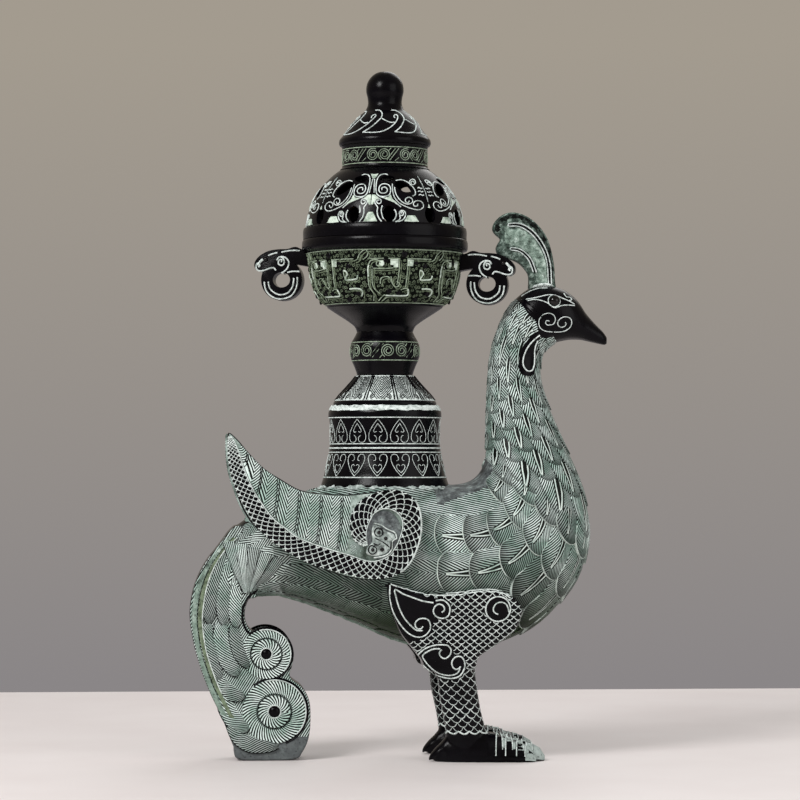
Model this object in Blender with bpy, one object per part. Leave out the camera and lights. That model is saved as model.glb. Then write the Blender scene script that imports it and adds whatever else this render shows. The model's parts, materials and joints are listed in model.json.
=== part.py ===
# Phoenix incense burner: a standing bird with a footed bowl and a pierced cover on its back.
# The bird looks along +X, +Z is up and the floor is at z = 0.
# Sizes below are in millimetres and become metres when a mesh is made.
import math

import bmesh
import bpy
from mathutils import Matrix, Vector

MM = 0.001
GAP = 0.3
WALL = 3.5
TURN_STEPS = 28
RING_STEPS = 18

# Column on the back, all turned about one upright axis.
TOWER_X = -8.5
ROD_RADIUS = 3.0
ROD_HOLE = ROD_RADIUS + GAP
ROD_BOTTOM = 143.0
ROD_TOP = 277.0
SEAT_Z = 160.2
BODY_ROOF = 154.4
SEAT_RADIUS = 38.8
BOSS_RADIUS = 41.0
BOSS_TOP = 161.8
PEDESTAL_TOP = 211.0
SKIRT_TOP = 229.0
KNOP_TOP = 254.7
BOWL_FLOOR = 268.0
BOWL_RIM = 310.0
DOME_CROWN = 352.0
COLLAR_TOP = 366.3
KNOB_TOP = 411.7
CAP_SCREW_RADIUS = 2.0
CUP_FLOOR = 279.5
CUP_RIM = 301.0
CUP_RADIUS = 38.6

# Cover openings: four repeats of one mask.
MASK_REPEATS = 4
MASK_ANGLE = -104.0
ROUND_HOLE = (3.7, 5.0)
ROUND_HOLE_Z = 322.4
LEAF_HOLE = (3.4, 6.0)
LEAF_HOLE_Z = 338.2
MOON_HOLE = (4.4, 2.6)
MOON_HOLE_Z = 343.6

# Loop handles, radius measured from the column's axis.
LOOP_RADIUS = 62.0
LOOP_Z = 285.0
LOOP_OUTER = 12.4
LOOP_HOLE = (5.2, 4.6)
HANDLE_HALF = 5.5
HANDLE_TURN = -11.0

# Bird: half widths across the body come with the outlines below.
FOOT_Y = 25.0
SHANK_HALF = 9.0
SHANK_LEAN = 0.17
THIGH_OUT = 50.0
THIGH_IN = 27.0
THIGH_TOP = 102.0
WING_OUT = 50.5
WING_IN = 34.0
WING_SWEEP = 0.085
TAIL_HALF = 15.0
CREST_HALF = 4.0
EYE_RADIUS = 3.4
SPIGOT = 6.0
SPIGOT_TAPER = 3.0

# Body and neck: back point x and z, belly point x and z, half width, squareness of the
# upper half, and wall along the back.
BODY_RINGS = [
    (-82.0, 146.5, -74.3, 99.9, 24.0, 2.3, 3.5),
    (-65.0, 155.5, -59.0, 95.7, 31.5, 2.6, 6.0),
    (-47.0, 161.5, -41.0, 89.0, 38.0, 3.0, 8.0),
    (-29.0, 163.0, -22.0, 81.0, 42.5, 3.2, 8.0),
    (-8.0, 163.2, -2.5, 72.5, 44.5, 3.2, 8.0),
    (12.5, 163.2, 18.5, 67.5, 45.0, 3.2, 8.0),
    (28.0, 163.2, 43.0, 67.0, 44.5, 3.0, 8.0),
    (37.0, 163.8, 64.0, 71.6, 43.0, 2.8, 8.0),
    (43.0, 165.6, 82.0, 80.6, 41.0, 2.6, 6.0),
    (47.0, 168.6, 97.4, 95.0, 38.5, 2.4, 4.5),
    (50.0, 172.8, 108.3, 111.0, 36.0, 2.3, 3.5),
    (52.0, 178.2, 113.8, 133.0, 32.5, 2.2, 3.5),
    (53.0, 185.4, 112.0, 153.0, 29.0, 2.2, 3.5),
    (53.2, 193.8, 106.0, 172.0, 25.5, 2.2, 3.5),
    (53.4, 203.5, 98.6, 188.5, 22.5, 2.2, 3.5),
    (53.7, 213.0, 91.3, 206.0, 19.5, 2.2, 3.5),
    (54.3, 224.0, 85.8, 221.6, 17.0, 2.2, 3.5),
    (55.0, 235.0, 84.6, 235.0, 15.5, 2.2, 3.5),
    (57.3, 247.4, 85.8, 241.0, 15.0, 2.2, 3.5),
    (61.0, 258.3, 87.6, 244.0, 15.2, 2.2, 3.5),
    (65.2, 267.3, 91.0, 247.0, 15.5, 2.2, 3.5),
    (70.0, 275.0, 95.0, 249.0, 15.7, 2.2, 3.5),
]
# Head from the neck joint to the beak's tip: crown x and z, throat x and z, half width.
HEAD_RINGS = [
    (79.1, 281.6, 99.2, 250.0, 16.0),
    (88.9, 283.1, 102.8, 250.6, 15.6),
    (97.4, 281.4, 106.5, 250.7, 14.0),
    (103.4, 278.1, 110.1, 250.5, 11.6),
    (108.3, 273.3, 113.8, 249.7, 9.0),
    (112.6, 266.9, 117.4, 248.9, 7.0),
    (118.1, 260.6, 121.1, 248.1, 5.0),
    (122.9, 255.8, 124.0, 247.6, 3.4),
    (125.6, 252.3, 125.6, 248.2, 1.8),
]
# Root of the tail, from the body's end down into the tail plate.
TAIL_RINGS = [
    (-95.0, 136.0, -84.0, 99.0, 19.5),
    (-108.0, 123.0, -92.5, 95.0, 16.2),
    (-117.5, 108.5, -96.0, 88.0, 13.4),
    (-119.5, 94.0, -97.0, 80.0, 10.5),
]
TAIL_OUTLINE = [
    (-96.0, 137.0), (-110.2, 123.9), (-117.8, 113.7), (-123.0, 101.5), (-125.3, 88.2),
    (-124.5, 77.0), (-121.6, 62.7), (-117.3, 49.4), (-112.2, 37.2), (-107.1, 26.9),
    (-103.1, 17.0), (-99.0, 7.0), (-95.5, 0.0), (-64.0, 0.0), (-58.6, 4.0),
    (-55.0, 11.2), (-53.6, 21.3), (-54.1, 33.6), (-58.2, 42.4), (-65.8, 48.6),
    (-64.6, 55.0), (-63.4, 62.0), (-65.3, 69.5), (-70.4, 74.0), (-77.6, 75.2),
    (-84.7, 74.8), (-89.8, 77.4), (-92.4, 82.9), (-92.4, 89.1), (-89.8, 95.6),
    (-85.5, 99.4),
]
WING_OUTLINE = [
    (-102.8, 194.2), (-103.4, 187.4), (-102.4, 173.6), (-99.2, 162.0), (-94.7, 149.9),
    (-88.3, 140.0), (-77.3, 130.7), (-66.4, 123.4), (-52.7, 116.6), (-38.9, 111.3),
    (-25.1, 108.5), (-11.3, 109.0), (-2.2, 113.1), (5.2, 122.3), (9.4, 133.2),
    (9.8, 142.5), (7.1, 151.0), (0.5, 157.4), (-9.5, 160.4), (-20.6, 159.2),
    (-33.0, 158.0), (-48.1, 158.6), (-56.3, 159.5), (-63.6, 161.8), (-72.8, 167.3),
    (-81.9, 173.2), (-91.0, 182.4), (-97.4, 190.0),
]
THIGH_OUTLINE = [
    (-9.8, 106.0), (-8.4, 92.6), (-2.3, 77.6), (4.4, 68.8), (10.5, 61.0), (15.5, 54.0),
    (40.3, 54.0), (44.0, 62.2), (53.9, 69.1), (64.4, 77.1), (69.1, 87.0), (68.5, 92.8),
    (62.6, 98.6), (53.9, 102.2), (44.0, 102.5), (32.3, 101.1), (20.7, 99.7), (9.0, 100.6),
    (-2.6, 104.1),
]
# Shank: z, middle x, half length along x.
SHANK_RINGS = [
    (66.0, 28.0, 16.0), (56.0, 27.5, 13.6), (48.0, 29.4, 11.9), (40.0, 30.4, 11.9),
    (30.0, 32.2, 11.8), (20.0, 34.6, 12.2), (9.0, 36.0, 12.6),
]
# Toe rings: share of the way to the tip, half width, height.
TOE_RINGS = [
    (0.0, 6.5, 19.0), (0.35, 6.2, 17.0), (0.6, 5.6, 13.0), (0.8, 4.6, 10.0), (0.92, 3.6, 8.6),
    (1.0, 1.6, 3.0),
]
# Toe tips: x and the distance outward from the leg's middle.
FRONT_TOES = [(83.0, 0.0), (75.0, 8.5), (75.0, -8.5)]
TOE_ROOT_X = 36.0
HIND_TOE_X = 15.5
CREST_OUTLINE = [
    (93.7, 276.0), (93.9, 286.7), (93.4, 295.3), (91.8, 303.9), (89.4, 311.3),
    (85.6, 317.4), (79.8, 323.0), (73.3, 326.3), (67.1, 327.1), (61.6, 325.2),
    (57.6, 321.2), (56.4, 317.1), (57.9, 314.1), (61.0, 311.1), (59.4, 308.0),
    (58.5, 304.9), (60.6, 301.0), (69.0, 298.2), (73.0, 296.0), (76.0, 292.8),
    (78.2, 288.5), (79.4, 276.0),
]
BEAST_OUTLINE = [
    (38.0, 291.5), (38.0, 301.0), (48.5, 303.0), (53.5, 304.8), (58.5, 303.6),
    (64.0, 303.4), (70.0, 302.4), (75.5, 299.4), (78.4, 295.4), (77.8, 291.6),
    (74.8, 290.2), (71.5, 292.0),
]
WING_RIVETS = {"front": (-11.0, 134.0), "rear": (-45.0, 135.0)}
RIVET_RADIUS = 2.0
LEG_BOLT_X = 30.0
LEG_BOLT_Z = 88.0
LEG_BOLT_RADIUS = 2.5
CREST_PEG_X = 86.5
CREST_PEG_RADIUS = 2.5

COLOURS = {
    "black_bronze": ((0.022, 0.020, 0.023), 0.9, 0.38),
    "patinated_bronze": ((0.30, 0.36, 0.29), 0.6, 0.6),
    "liner_brass": ((0.40, 0.30, 0.13), 1.0, 0.45),
    "fixing_steel": ((0.45, 0.45, 0.44), 1.0, 0.4),
    "eye_bead": ((0.012, 0.012, 0.014), 0.0, 0.12),
}


def make_materials():
    made = {}
    for name, (colour, metallic, roughness) in COLOURS.items():
        material = bpy.data.materials.new(name)
        material.use_nodes = True
        shader = material.node_tree.nodes["Principled BSDF"]
        shader.inputs["Base Color"].default_value = (*colour, 1.0)
        shader.inputs["Metallic"].default_value = metallic
        shader.inputs["Roughness"].default_value = roughness
        made[name] = material
    return made


def finish(name, bm, slot, smooth=True):
    bmesh.ops.remove_doubles(bm, verts=bm.verts, dist=0.001)
    bmesh.ops.recalc_face_normals(bm, faces=bm.faces)
    bmesh.ops.scale(bm, vec=(MM, MM, MM), verts=bm.verts)
    mesh = bpy.data.meshes.new(name)
    bm.to_mesh(mesh)
    bm.free()
    thing = bpy.data.objects.new(name, mesh)
    bpy.context.collection.objects.link(thing)
    if slot:
        mesh.materials.append(MATERIALS[slot])
    if smooth:
        mesh.shade_smooth()
    return thing


def tool(name, bm):
    # A cutter or an added lump: shown as wire and left out of the finished part.
    thing = finish(name, bm, None, smooth=False)
    thing.hide_render = True
    thing.display_type = "WIRE"
    return thing


def boolean(thing, other, operation):
    change = thing.modifiers.new(other.name, "BOOLEAN")
    change.operation = operation
    change.solver = "EXACT"
    change.object = other


def ring_of_points(bm, points):
    verts = [bm.verts.new(p) for p in points]
    return [bm.edges.new((verts[i - 1], verts[i])) for i in range(len(verts))]


def loft(rings):
    bm = bmesh.new()
    loops = [ring_of_points(bm, ring) for ring in rings]
    for first, second in zip(loops, loops[1:]):
        bmesh.ops.bridge_loops(bm, edges=first + second)
    for end in (loops[0], loops[-1]):
        bmesh.ops.contextual_create(bm, geom=end)
    return bm


def turned(profile, steps=TURN_STEPS, x=TOWER_X):
    bm = bmesh.new()
    verts = [bm.verts.new((x + r, 0.0, z)) for r, z in profile]
    edges = []
    for i, (r, z) in enumerate(profile):
        if r > 0 or profile[i - 1][0] > 0:
            edges.append(bm.edges.new((verts[i - 1], verts[i])))
    bmesh.ops.spin(
        bm, geom=verts + edges, cent=(x, 0.0, 0.0), axis=(0.0, 0.0, 1.0),
        angle=math.tau, steps=steps, use_merge=True,
    )
    bmesh.ops.remove_doubles(bm, verts=bm.verts, dist=0.001)
    bmesh.ops.dissolve_degenerate(bm, edges=bm.edges, dist=0.0005)
    return bm


def rod(radius, start, end, steps=12):
    start = Vector(start)
    along = Vector(end) - start
    bm = bmesh.new()
    place = Matrix.Translation(start + along / 2) @ along.to_track_quat("Z", "Y").to_matrix().to_4x4()
    bmesh.ops.create_cone(
        bm, cap_ends=True, segments=steps, radius1=radius, radius2=radius,
        depth=along.length, matrix=place,
    )
    return bm


def add_rod(bm, radius, start, end, steps=12):
    other = rod(radius, start, end, steps)
    mesh = bpy.data.meshes.new("rod")
    other.to_mesh(mesh)
    other.free()
    bm.from_mesh(mesh)
    bpy.data.meshes.remove(mesh)


def plate(outline, near, far, edge=0.0):
    # near and far give y for an x; the rim between face and edge is rounded by edge.
    bm = bmesh.new()
    face = bm.faces.new([bm.verts.new((x, near(x), z)) for x, z in outline])
    grown = bmesh.ops.extrude_face_region(bm, geom=[face], use_keep_orig=True)["geom"]
    for vert in grown:
        if isinstance(vert, bmesh.types.BMVert):
            vert.co.y = far(vert.co.x)
    bmesh.ops.recalc_face_normals(bm, faces=bm.faces)
    if edge:
        rims = [e for f in bm.faces if len(f.verts) > 4 for e in f.edges]
        bmesh.ops.bevel(
            bm, geom=rims, offset=edge, segments=2, profile=0.5, affect="EDGES",
            clamp_overlap=True, material=-1,
        )
    return bm


def oval(top, bottom, half, upper=2.2, lower=2.2, steps=RING_STEPS, grow=0.0, shrink_top=0.0):
    # A ring in the upright plane through two points of the side view.
    top = Vector((top[0], 0.0, top[1]))
    bottom = Vector((bottom[0], 0.0, bottom[1]))
    up = (top - bottom).normalized()
    top = top + up * (grow - shrink_top)
    bottom = bottom - up * grow
    middle = (top + bottom) / 2
    rise = (top - bottom).length / 2
    half = half + grow
    points = []
    for i in range(steps):
        a = math.tau * i / steps
        power = upper if math.cos(a) >= 0 else lower
        c = math.copysign(abs(math.cos(a)) ** (2 / power), math.cos(a))
        s = math.copysign(abs(math.sin(a)) ** (2 / power), math.sin(a))
        points.append(middle + up * rise * c + Vector((0.0, half * s, 0.0)))
    return points


def body_ring(row, grow=0.0, hollow=False):
    bx, bz, vx, vz, half, upper, wall = row
    inward = -WALL if hollow else grow
    extra = wall - WALL if hollow else 0.0
    return oval((bx, bz), (vx, vz), half, upper, 2.2, grow=inward, shrink_top=extra)


def joint_normal(row, sign):
    # Unit vector out of the body at one of its open ends.
    along = Vector((row[0] - row[2], 0.0, row[1] - row[3])).normalized()
    return Vector((along.z, 0.0, -along.x)) * sign


def moved(points, shift):
    return [p + shift for p in points]


def body_solid(grow=0.0):
    return loft([body_ring(row, grow) for row in BODY_RINGS])


def seat_boss(grow=0.0):
    return rod(BOSS_RADIUS + grow, (TOWER_X, 0, 120), (TOWER_X, 0, BOSS_TOP + grow), TURN_STEPS)


def end_with_spigot(row, sign):
    # Rings of a piece that plugs one open end of the body, from spigot tip to shoulder.
    out = joint_normal(row, sign)
    plain = row[:6] + (WALL,)
    inner = oval((row[0], row[1]), (row[2], row[3]), row[4], row[5], 2.2, grow=-WALL - GAP)
    tip = oval((row[0], row[1]), (row[2], row[3]), row[4], row[5], 2.2, grow=-WALL - SPIGOT_TAPER)
    full = body_ring(plain)
    return [moved(tip, out * -SPIGOT), moved(inner, out * GAP), moved(full, out * GAP)]


def head_rings(grow=0.0):
    return [oval((a, b), (c, d), half, grow=grow) for a, b, c, d, half in HEAD_RINGS]


def build_column():
    pedestal = [
        (38.5, SEAT_Z + GAP), (38.2, 163.5), (36.6, 168.6), (35.4, 175.0), (34.0, 180.0),
        (33.2, 185.0), (33.0, 196.0), (33.8, 206.6), (31.4, PEDESTAL_TOP),
        (ROD_HOLE, PEDESTAL_TOP), (ROD_HOLE, 206.0), (30.0, 206.0), (30.0, 188.0),
        (34.8, SEAT_Z + GAP),
    ]
    finish("pedestal", turned(pedestal), "black_bronze")

    base = PEDESTAL_TOP + GAP
    skirt = [
        (30.9, base), (30.6, 212.3), (28.8, 215.4), (25.8, 219.0), (22.2, 222.6),
        (19.2, 226.2), (17.0, SKIRT_TOP), (ROD_HOLE, SKIRT_TOP), (ROD_HOLE, 225.0),
        (14.0, 225.0), (19.5, 219.6), (27.5, base),
    ]
    finish("skirt", turned(skirt), "patinated_bronze")

    base = SKIRT_TOP + GAP
    knop = [
        (16.8, base), (17.6, 232.0), (19.8, 237.0), (20.8, 241.0), (21.0, 244.2),
        (20.2, 248.2), (18.7, 251.6), (16.9, KNOP_TOP), (ROD_HOLE, KNOP_TOP),
        (ROD_HOLE, 251.0), (12.5, 249.0), (12.5, 235.0), (ROD_HOLE, 233.0), (ROD_HOLE, base),
    ]
    finish("stem_knop", turned(knop), "black_bronze")

    finish("bowl", turned(bowl_outside() + bowl_inside()), "black_bronze")

    cup = [
        (23.5, 270.5), (25.5, 270.7), (27.5, 276.0), (33.0, 279.5), (36.6, 285.0),
        (37.9, 292.0), (CUP_RADIUS, CUP_RIM), (CUP_RADIUS - 1.5, CUP_RIM), (36.4, 292.4),
        (35.1, 286.0), (31.5, 281.4), (24.0, CUP_FLOOR), (0.0, CUP_FLOOR),
        (0.0, CUP_FLOOR - 1.7), (23.5, CUP_FLOOR - 1.7),
    ]
    finish("ash_cup", turned(cup, 24), "liner_brass")

    finish("tie_rod", rod(ROD_RADIUS, (TOWER_X, 0, ROD_BOTTOM), (TOWER_X, 0, ROD_TOP), 16),
           "fixing_steel")
    washer_and_nut("upper", BOWL_FLOOR + GAP, 1.0)
    washer_and_nut("lower", BODY_ROOF - GAP, -1.0)


def bowl_outside(grow=0.0):
    rows = [
        (16.9, KNOP_TOP + GAP), (17.4, 256.6), (18.8, 258.8), (23.4, 262.2), (29.1, 265.8),
        (34.5, 269.4), (38.4, 273.0), (41.3, 276.8), (43.2, 281.4), (44.7, 288.0),
        (46.0, 296.0), (47.2, 302.6), (49.4, 303.8), (49.9, 306.4), (49.3, BOWL_RIM),
    ]
    return [(r + grow, z) for r, z in rows]


def bowl_inside():
    return [
        (46.2, BOWL_RIM), (46.2, 305.0), (43.8, 301.4), (42.4, 294.0), (41.0, 286.0),
        (38.4, 279.6), (33.0, 273.8), (26.0, 270.0), (18.0, BOWL_FLOOR), (ROD_HOLE, BOWL_FLOOR),
        (ROD_HOLE, KNOP_TOP + GAP),
    ]


def washer_and_nut(which, face, way):
    # way is +1 above a floor and -1 below a roof.
    def level(step):
        return face + way * step

    washer = [(8.0, level(0)), (8.0, level(1.2)), (ROD_HOLE, level(1.2)), (ROD_HOLE, level(0))]
    finish(which + "_washer", turned(washer, 16), "fixing_steel")
    blank = rod(5.8, (TOWER_X, 0, level(1.5)), (TOWER_X, 0, level(6.0)), 6)
    nut = finish(which + "_nut", blank, "fixing_steel", smooth=False)
    bore = rod(ROD_HOLE, (TOWER_X, 0, level(-2.0)), (TOWER_X, 0, level(10.0)), 16)
    boolean(nut, tool(which + "_nut_bore", bore), "DIFFERENCE")


def turn_on_axis(bm, degrees):
    turn = Matrix.Rotation(math.radians(degrees), 3, "Z")
    bmesh.ops.rotate(bm, cent=(TOWER_X, 0.0, 0.0), matrix=turn, verts=bm.verts)


def build_handles():
    # The bowl stands a little turned, so the front handle passes beside the crest.
    bowl_block = tool("bowl_block", turned([(0.0, KNOP_TOP)] + bowl_outside(GAP) + [(0.0, BOWL_RIM)]))
    for name, sign in (("front_handle", 1.0), ("rear_handle", -1.0)):
        def across(u):
            return TOWER_X + sign * u

        loop = []
        for i in range(17):
            a = math.radians(30.0 - 260.0 * i / 16)
            loop.append((LOOP_RADIUS + LOOP_OUTER * math.cos(a), LOOP_Z + LOOP_OUTER * math.sin(a)))
        outline = [(across(u), z) for u, z in BEAST_OUTLINE + loop]
        casting = plate(outline, lambda x: -HANDLE_HALF, lambda x: HANDLE_HALF, 1.2)
        turn_on_axis(casting, HANDLE_TURN)
        handle = finish(name, casting, "black_bronze")
        eye = rod(1.0, (0, -20, 0), (0, 20, 0), 14)
        bmesh.ops.scale(eye, vec=(LOOP_HOLE[0], 1.0, LOOP_HOLE[1]), verts=eye.verts)
        bmesh.ops.translate(eye, vec=(across(LOOP_RADIUS), 0.0, LOOP_Z), verts=eye.verts)
        turn_on_axis(eye, HANDLE_TURN)
        boolean(handle, tool(name + "_eye", eye), "DIFFERENCE")
        boolean(handle, bowl_block, "DIFFERENCE")


def build_cover():
    rim = BOWL_RIM + GAP
    dome = [
        (49.2, rim), (49.2, 315.8), (47.8, 317.2), (46.4, 325.8), (45.0, 331.0),
        (43.0, 335.2), (40.8, 338.9), (37.8, 342.6), (34.0, 346.4), (30.5, 349.4),
        (26.8, DOME_CROWN), (2.6, DOME_CROWN), (2.6, 348.4), (27.5, 348.4), (31.4, 345.8),
        (35.0, 342.8), (39.4, 336.8), (42.4, 329.6), (44.4, 318.0), (43.2, 314.2),
        (42.8, 306.0), (45.7, 306.0), (45.7, rim),
    ]
    cover = finish("dome_cover", turned(dome), "black_bronze")
    holes = bmesh.new()
    for repeat in range(MASK_REPEATS):
        for offset, size, z, radius, lift, lean in mask_holes():
            a = math.radians(MASK_ANGLE + 360.0 * repeat / MASK_REPEATS + offset)
            e = math.radians(lift)
            out = Vector((math.cos(a) * math.cos(e), math.sin(a) * math.cos(e), math.sin(e)))
            spot = Vector((TOWER_X + radius * math.cos(a), radius * math.sin(a), z))
            turn = out.to_track_quat("Z", "Y").to_matrix().to_4x4()
            place = (
                Matrix.Translation(spot) @ turn @ Matrix.Rotation(math.radians(lean), 4, "Z")
                @ Matrix.Diagonal((size[0], size[1], 1.0, 1.0))
            )
            bmesh.ops.create_cone(
                holes, cap_ends=True, segments=8, radius1=1.0, radius2=1.0, depth=14.0,
                matrix=place,
            )
    boolean(cover, tool("cover_holes", holes), "DIFFERENCE")

    base = DOME_CROWN + GAP
    collar = [
        (26.6, base), (26.6, 354.6), (25.6, 356.0), (25.6, 364.8), (26.2, COLLAR_TOP),
        (20.0, COLLAR_TOP), (20.0, base),
    ]
    finish("vent_collar", turned(collar), "black_bronze")

    base = COLLAR_TOP + GAP
    cap = [
        (27.0, base), (27.5, 369.4), (26.4, 371.4), (21.8, 377.4), (19.2, 381.0),
        (15.6, 384.6), (11.9, 388.0), (10.2, 391.8), (10.5, 395.5), (11.3, 400.0),
        (10.5, 404.6), (8.2, 408.4), (4.6, 410.9), (0.0, KNOB_TOP), (0.0, 384.0),
        (CAP_SCREW_RADIUS + GAP, 384.0), (CAP_SCREW_RADIUS + GAP, 368.0), (5.5, 368.0),
        (5.5, 377.0), (12.0, 377.0), (18.5, 371.0), (19.5, base),
    ]
    finish("cap_finial", turned(cap), "black_bronze")

    crown = 348.4
    washer = [
        (5.5, crown - GAP), (2.4, crown - GAP), (2.4, crown - 1.4), (5.5, crown - 1.4),
    ]
    finish("cap_washer", turned(washer, 16), "fixing_steel")
    screw = [
        (0.0, 383.5), (CAP_SCREW_RADIUS, 383.5), (CAP_SCREW_RADIUS, crown - 1.7),
        (4.2, crown - 1.7), (4.2, crown - 3.6), (2.6, crown - 4.8), (0.0, crown - 4.8),
    ]
    finish("cap_screw", turned(screw, 14), "fixing_steel")


def mask_holes():
    # Offset in degrees, half sizes, height, radius, upward lean of the hole, twist.
    return [
        (-13.0, ROUND_HOLE, ROUND_HOLE_Z, 46.0, 10.0, 0.0),
        (13.0, ROUND_HOLE, ROUND_HOLE_Z, 46.0, 10.0, 0.0),
        (45.0, ROUND_HOLE, ROUND_HOLE_Z, 46.0, 10.0, 0.0),
        (-26.0, LEAF_HOLE, LEAF_HOLE_Z, 39.5, 34.0, -45.0),
        (26.0, LEAF_HOLE, LEAF_HOLE_Z, 39.5, 34.0, 45.0),
        (-12.6, MOON_HOLE, MOON_HOLE_Z, 35.5, 46.0, -12.0),
        (12.6, MOON_HOLE, MOON_HOLE_Z, 35.5, 46.0, 12.0),
    ]


def build_body():
    body = finish("bird_body", body_solid(), "patinated_bronze")
    boolean(body, tool("seat_boss", seat_boss()), "UNION")
    cavity = [body_ring(row, hollow=True) for row in BODY_RINGS]
    tail_out = joint_normal(BODY_RINGS[0], -1.0)
    neck_out = joint_normal(BODY_RINGS[-1], 1.0)
    cavity = [moved(cavity[0], tail_out * 4.0)] + cavity + [moved(cavity[-1], neck_out * 4.0)]
    boolean(body, tool("body_cavity", loft(cavity)), "DIFFERENCE")
    seat = rod(SEAT_RADIUS, (TOWER_X, 0, SEAT_Z), (TOWER_X, 0, SEAT_Z + 20), TURN_STEPS)
    boolean(body, tool("back_seat", seat), "DIFFERENCE")
    holes = rod(ROD_HOLE, (TOWER_X, 0, 140), (TOWER_X, 0, 170), 16)
    for side in (-1.0, 1.0):
        for x, z in WING_RIVETS.values():
            add_rod(holes, RIVET_RADIUS + GAP, (x, 28 * side, z), (x, 49 * side, z))
        add_rod(holes, LEG_BOLT_RADIUS + GAP, (LEG_BOLT_X, 26 * side, LEG_BOLT_Z),
                (LEG_BOLT_X, 49 * side, LEG_BOLT_Z))
    boolean(body, tool("body_holes", holes), "DIFFERENCE")


def build_head():
    joint = BODY_RINGS[-1]
    rings = end_with_spigot(joint, 1.0) + head_rings()
    head = finish("head", loft(rings), "black_bronze")
    out = joint_normal(joint, 1.0)
    block = [moved(body_ring(joint, GAP), out * -2.0)] + head_rings(GAP)
    head_block = tool("head_block", loft(block))

    crest = finish(
        "crest", plate(CREST_OUTLINE, lambda x: -CREST_HALF, lambda x: CREST_HALF, 1.2),
        "patinated_bronze",
    )
    boolean(crest, head_block, "DIFFERENCE")
    peg = rod(CREST_PEG_RADIUS, (CREST_PEG_X, 0, 275), (CREST_PEG_X, 0, 290))
    boolean(crest, tool("crest_peg", peg), "UNION")
    socket = rod(CREST_PEG_RADIUS + GAP, (CREST_PEG_X, 0, 274.5), (CREST_PEG_X, 0, 295))
    boolean(head, tool("crest_socket", socket), "DIFFERENCE")

    for name, side in (("left", 1.0), ("right", -1.0)):
        spot = (92.2, 11.6 * side, 273.3)
        bead = bmesh.new()
        bmesh.ops.create_uvsphere(
            bead, u_segments=12, v_segments=8, radius=EYE_RADIUS,
            matrix=Matrix.Translation(spot),
        )
        finish(name + "_eye", bead, "eye_bead")
        bed = bmesh.new()
        bmesh.ops.create_uvsphere(
            bed, u_segments=14, v_segments=8, radius=EYE_RADIUS + GAP,
            matrix=Matrix.Translation(spot),
        )
        boolean(head, tool(name + "_eye_bed", bed), "DIFFERENCE")


def build_tail():
    joint = BODY_RINGS[0]
    rings = end_with_spigot(joint, -1.0)
    rings += [oval((a, b), (c, d), half) for a, b, c, d, half in TAIL_RINGS]
    tail = finish("tail", loft(rings), "patinated_bronze")
    blade = plate(TAIL_OUTLINE, lambda x: -TAIL_HALF, lambda x: TAIL_HALF, 3.0)
    boolean(tail, tool("tail_blade", blade), "UNION")


def build_wings(body_block, boss_block):
    for name, side in (("left", 1.0), ("right", -1.0)):
        def outer(x):
            return side * (WING_OUT - WING_SWEEP * max(0.0, -11.0 - x))

        def inner(x):
            return side * (WING_IN + 0.02 * max(0.0, -11.0 - x))

        wing = finish(name + "_wing", plate(WING_OUTLINE, outer, inner, 1.5), "black_bronze")
        boolean(wing, body_block, "DIFFERENCE")
        boolean(wing, boss_block, "DIFFERENCE")
        holes = bmesh.new()
        for place, (x, z) in WING_RIVETS.items():
            tip = abs(outer(x)) - 2.5
            add_rod(holes, RIVET_RADIUS + GAP, (x, 28 * side, z), (x, (tip + GAP) * side, z))
            head_at = 38.0 if place == "front" else 31.0
            fixing(name + "_wing_" + place + "_rivet", x, z, side, head_at, tip, RIVET_RADIUS, 12)
        boolean(wing, tool(name + "_wing_holes", holes), "DIFFERENCE")


def fixing(name, x, z, side, head_at, tip, radius, steps):
    # A headed pin lying along y, its head inside the body.
    pin = turned(
        [(0.0, head_at - 2.4), (radius * 1.8, head_at - 2.0), (radius * 1.8, head_at),
         (radius, head_at), (radius, tip), (0.0, tip)],
        steps, 0.0,
    )
    turn = Matrix.Rotation(math.radians(-90.0 * side), 4, "X")
    bmesh.ops.transform(pin, matrix=Matrix.Translation((x, 0, z)) @ turn, verts=pin.verts)
    finish(name, pin, "fixing_steel")


def toe(tip_x, tip_y, root_y, root_x):
    # Flat underneath, narrowing to a claw.
    root = Vector((root_x, root_y, 0.0))
    along = Vector((tip_x, tip_y, 0.0)) - root
    side = Vector((-along.y, along.x, 0.0)).normalized()
    shape = [(-1.0, 0.0), (-1.0, 0.45), (-0.72, 0.85), (0.0, 1.0), (0.72, 0.85), (1.0, 0.45), (1.0, 0.0)]
    rings = []
    for share, half, height in TOE_RINGS:
        spot = root + along * share
        rings.append([spot + side * half * a + Vector((0.0, 0.0, height * b)) for a, b in shape])
    return loft(rings)


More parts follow.
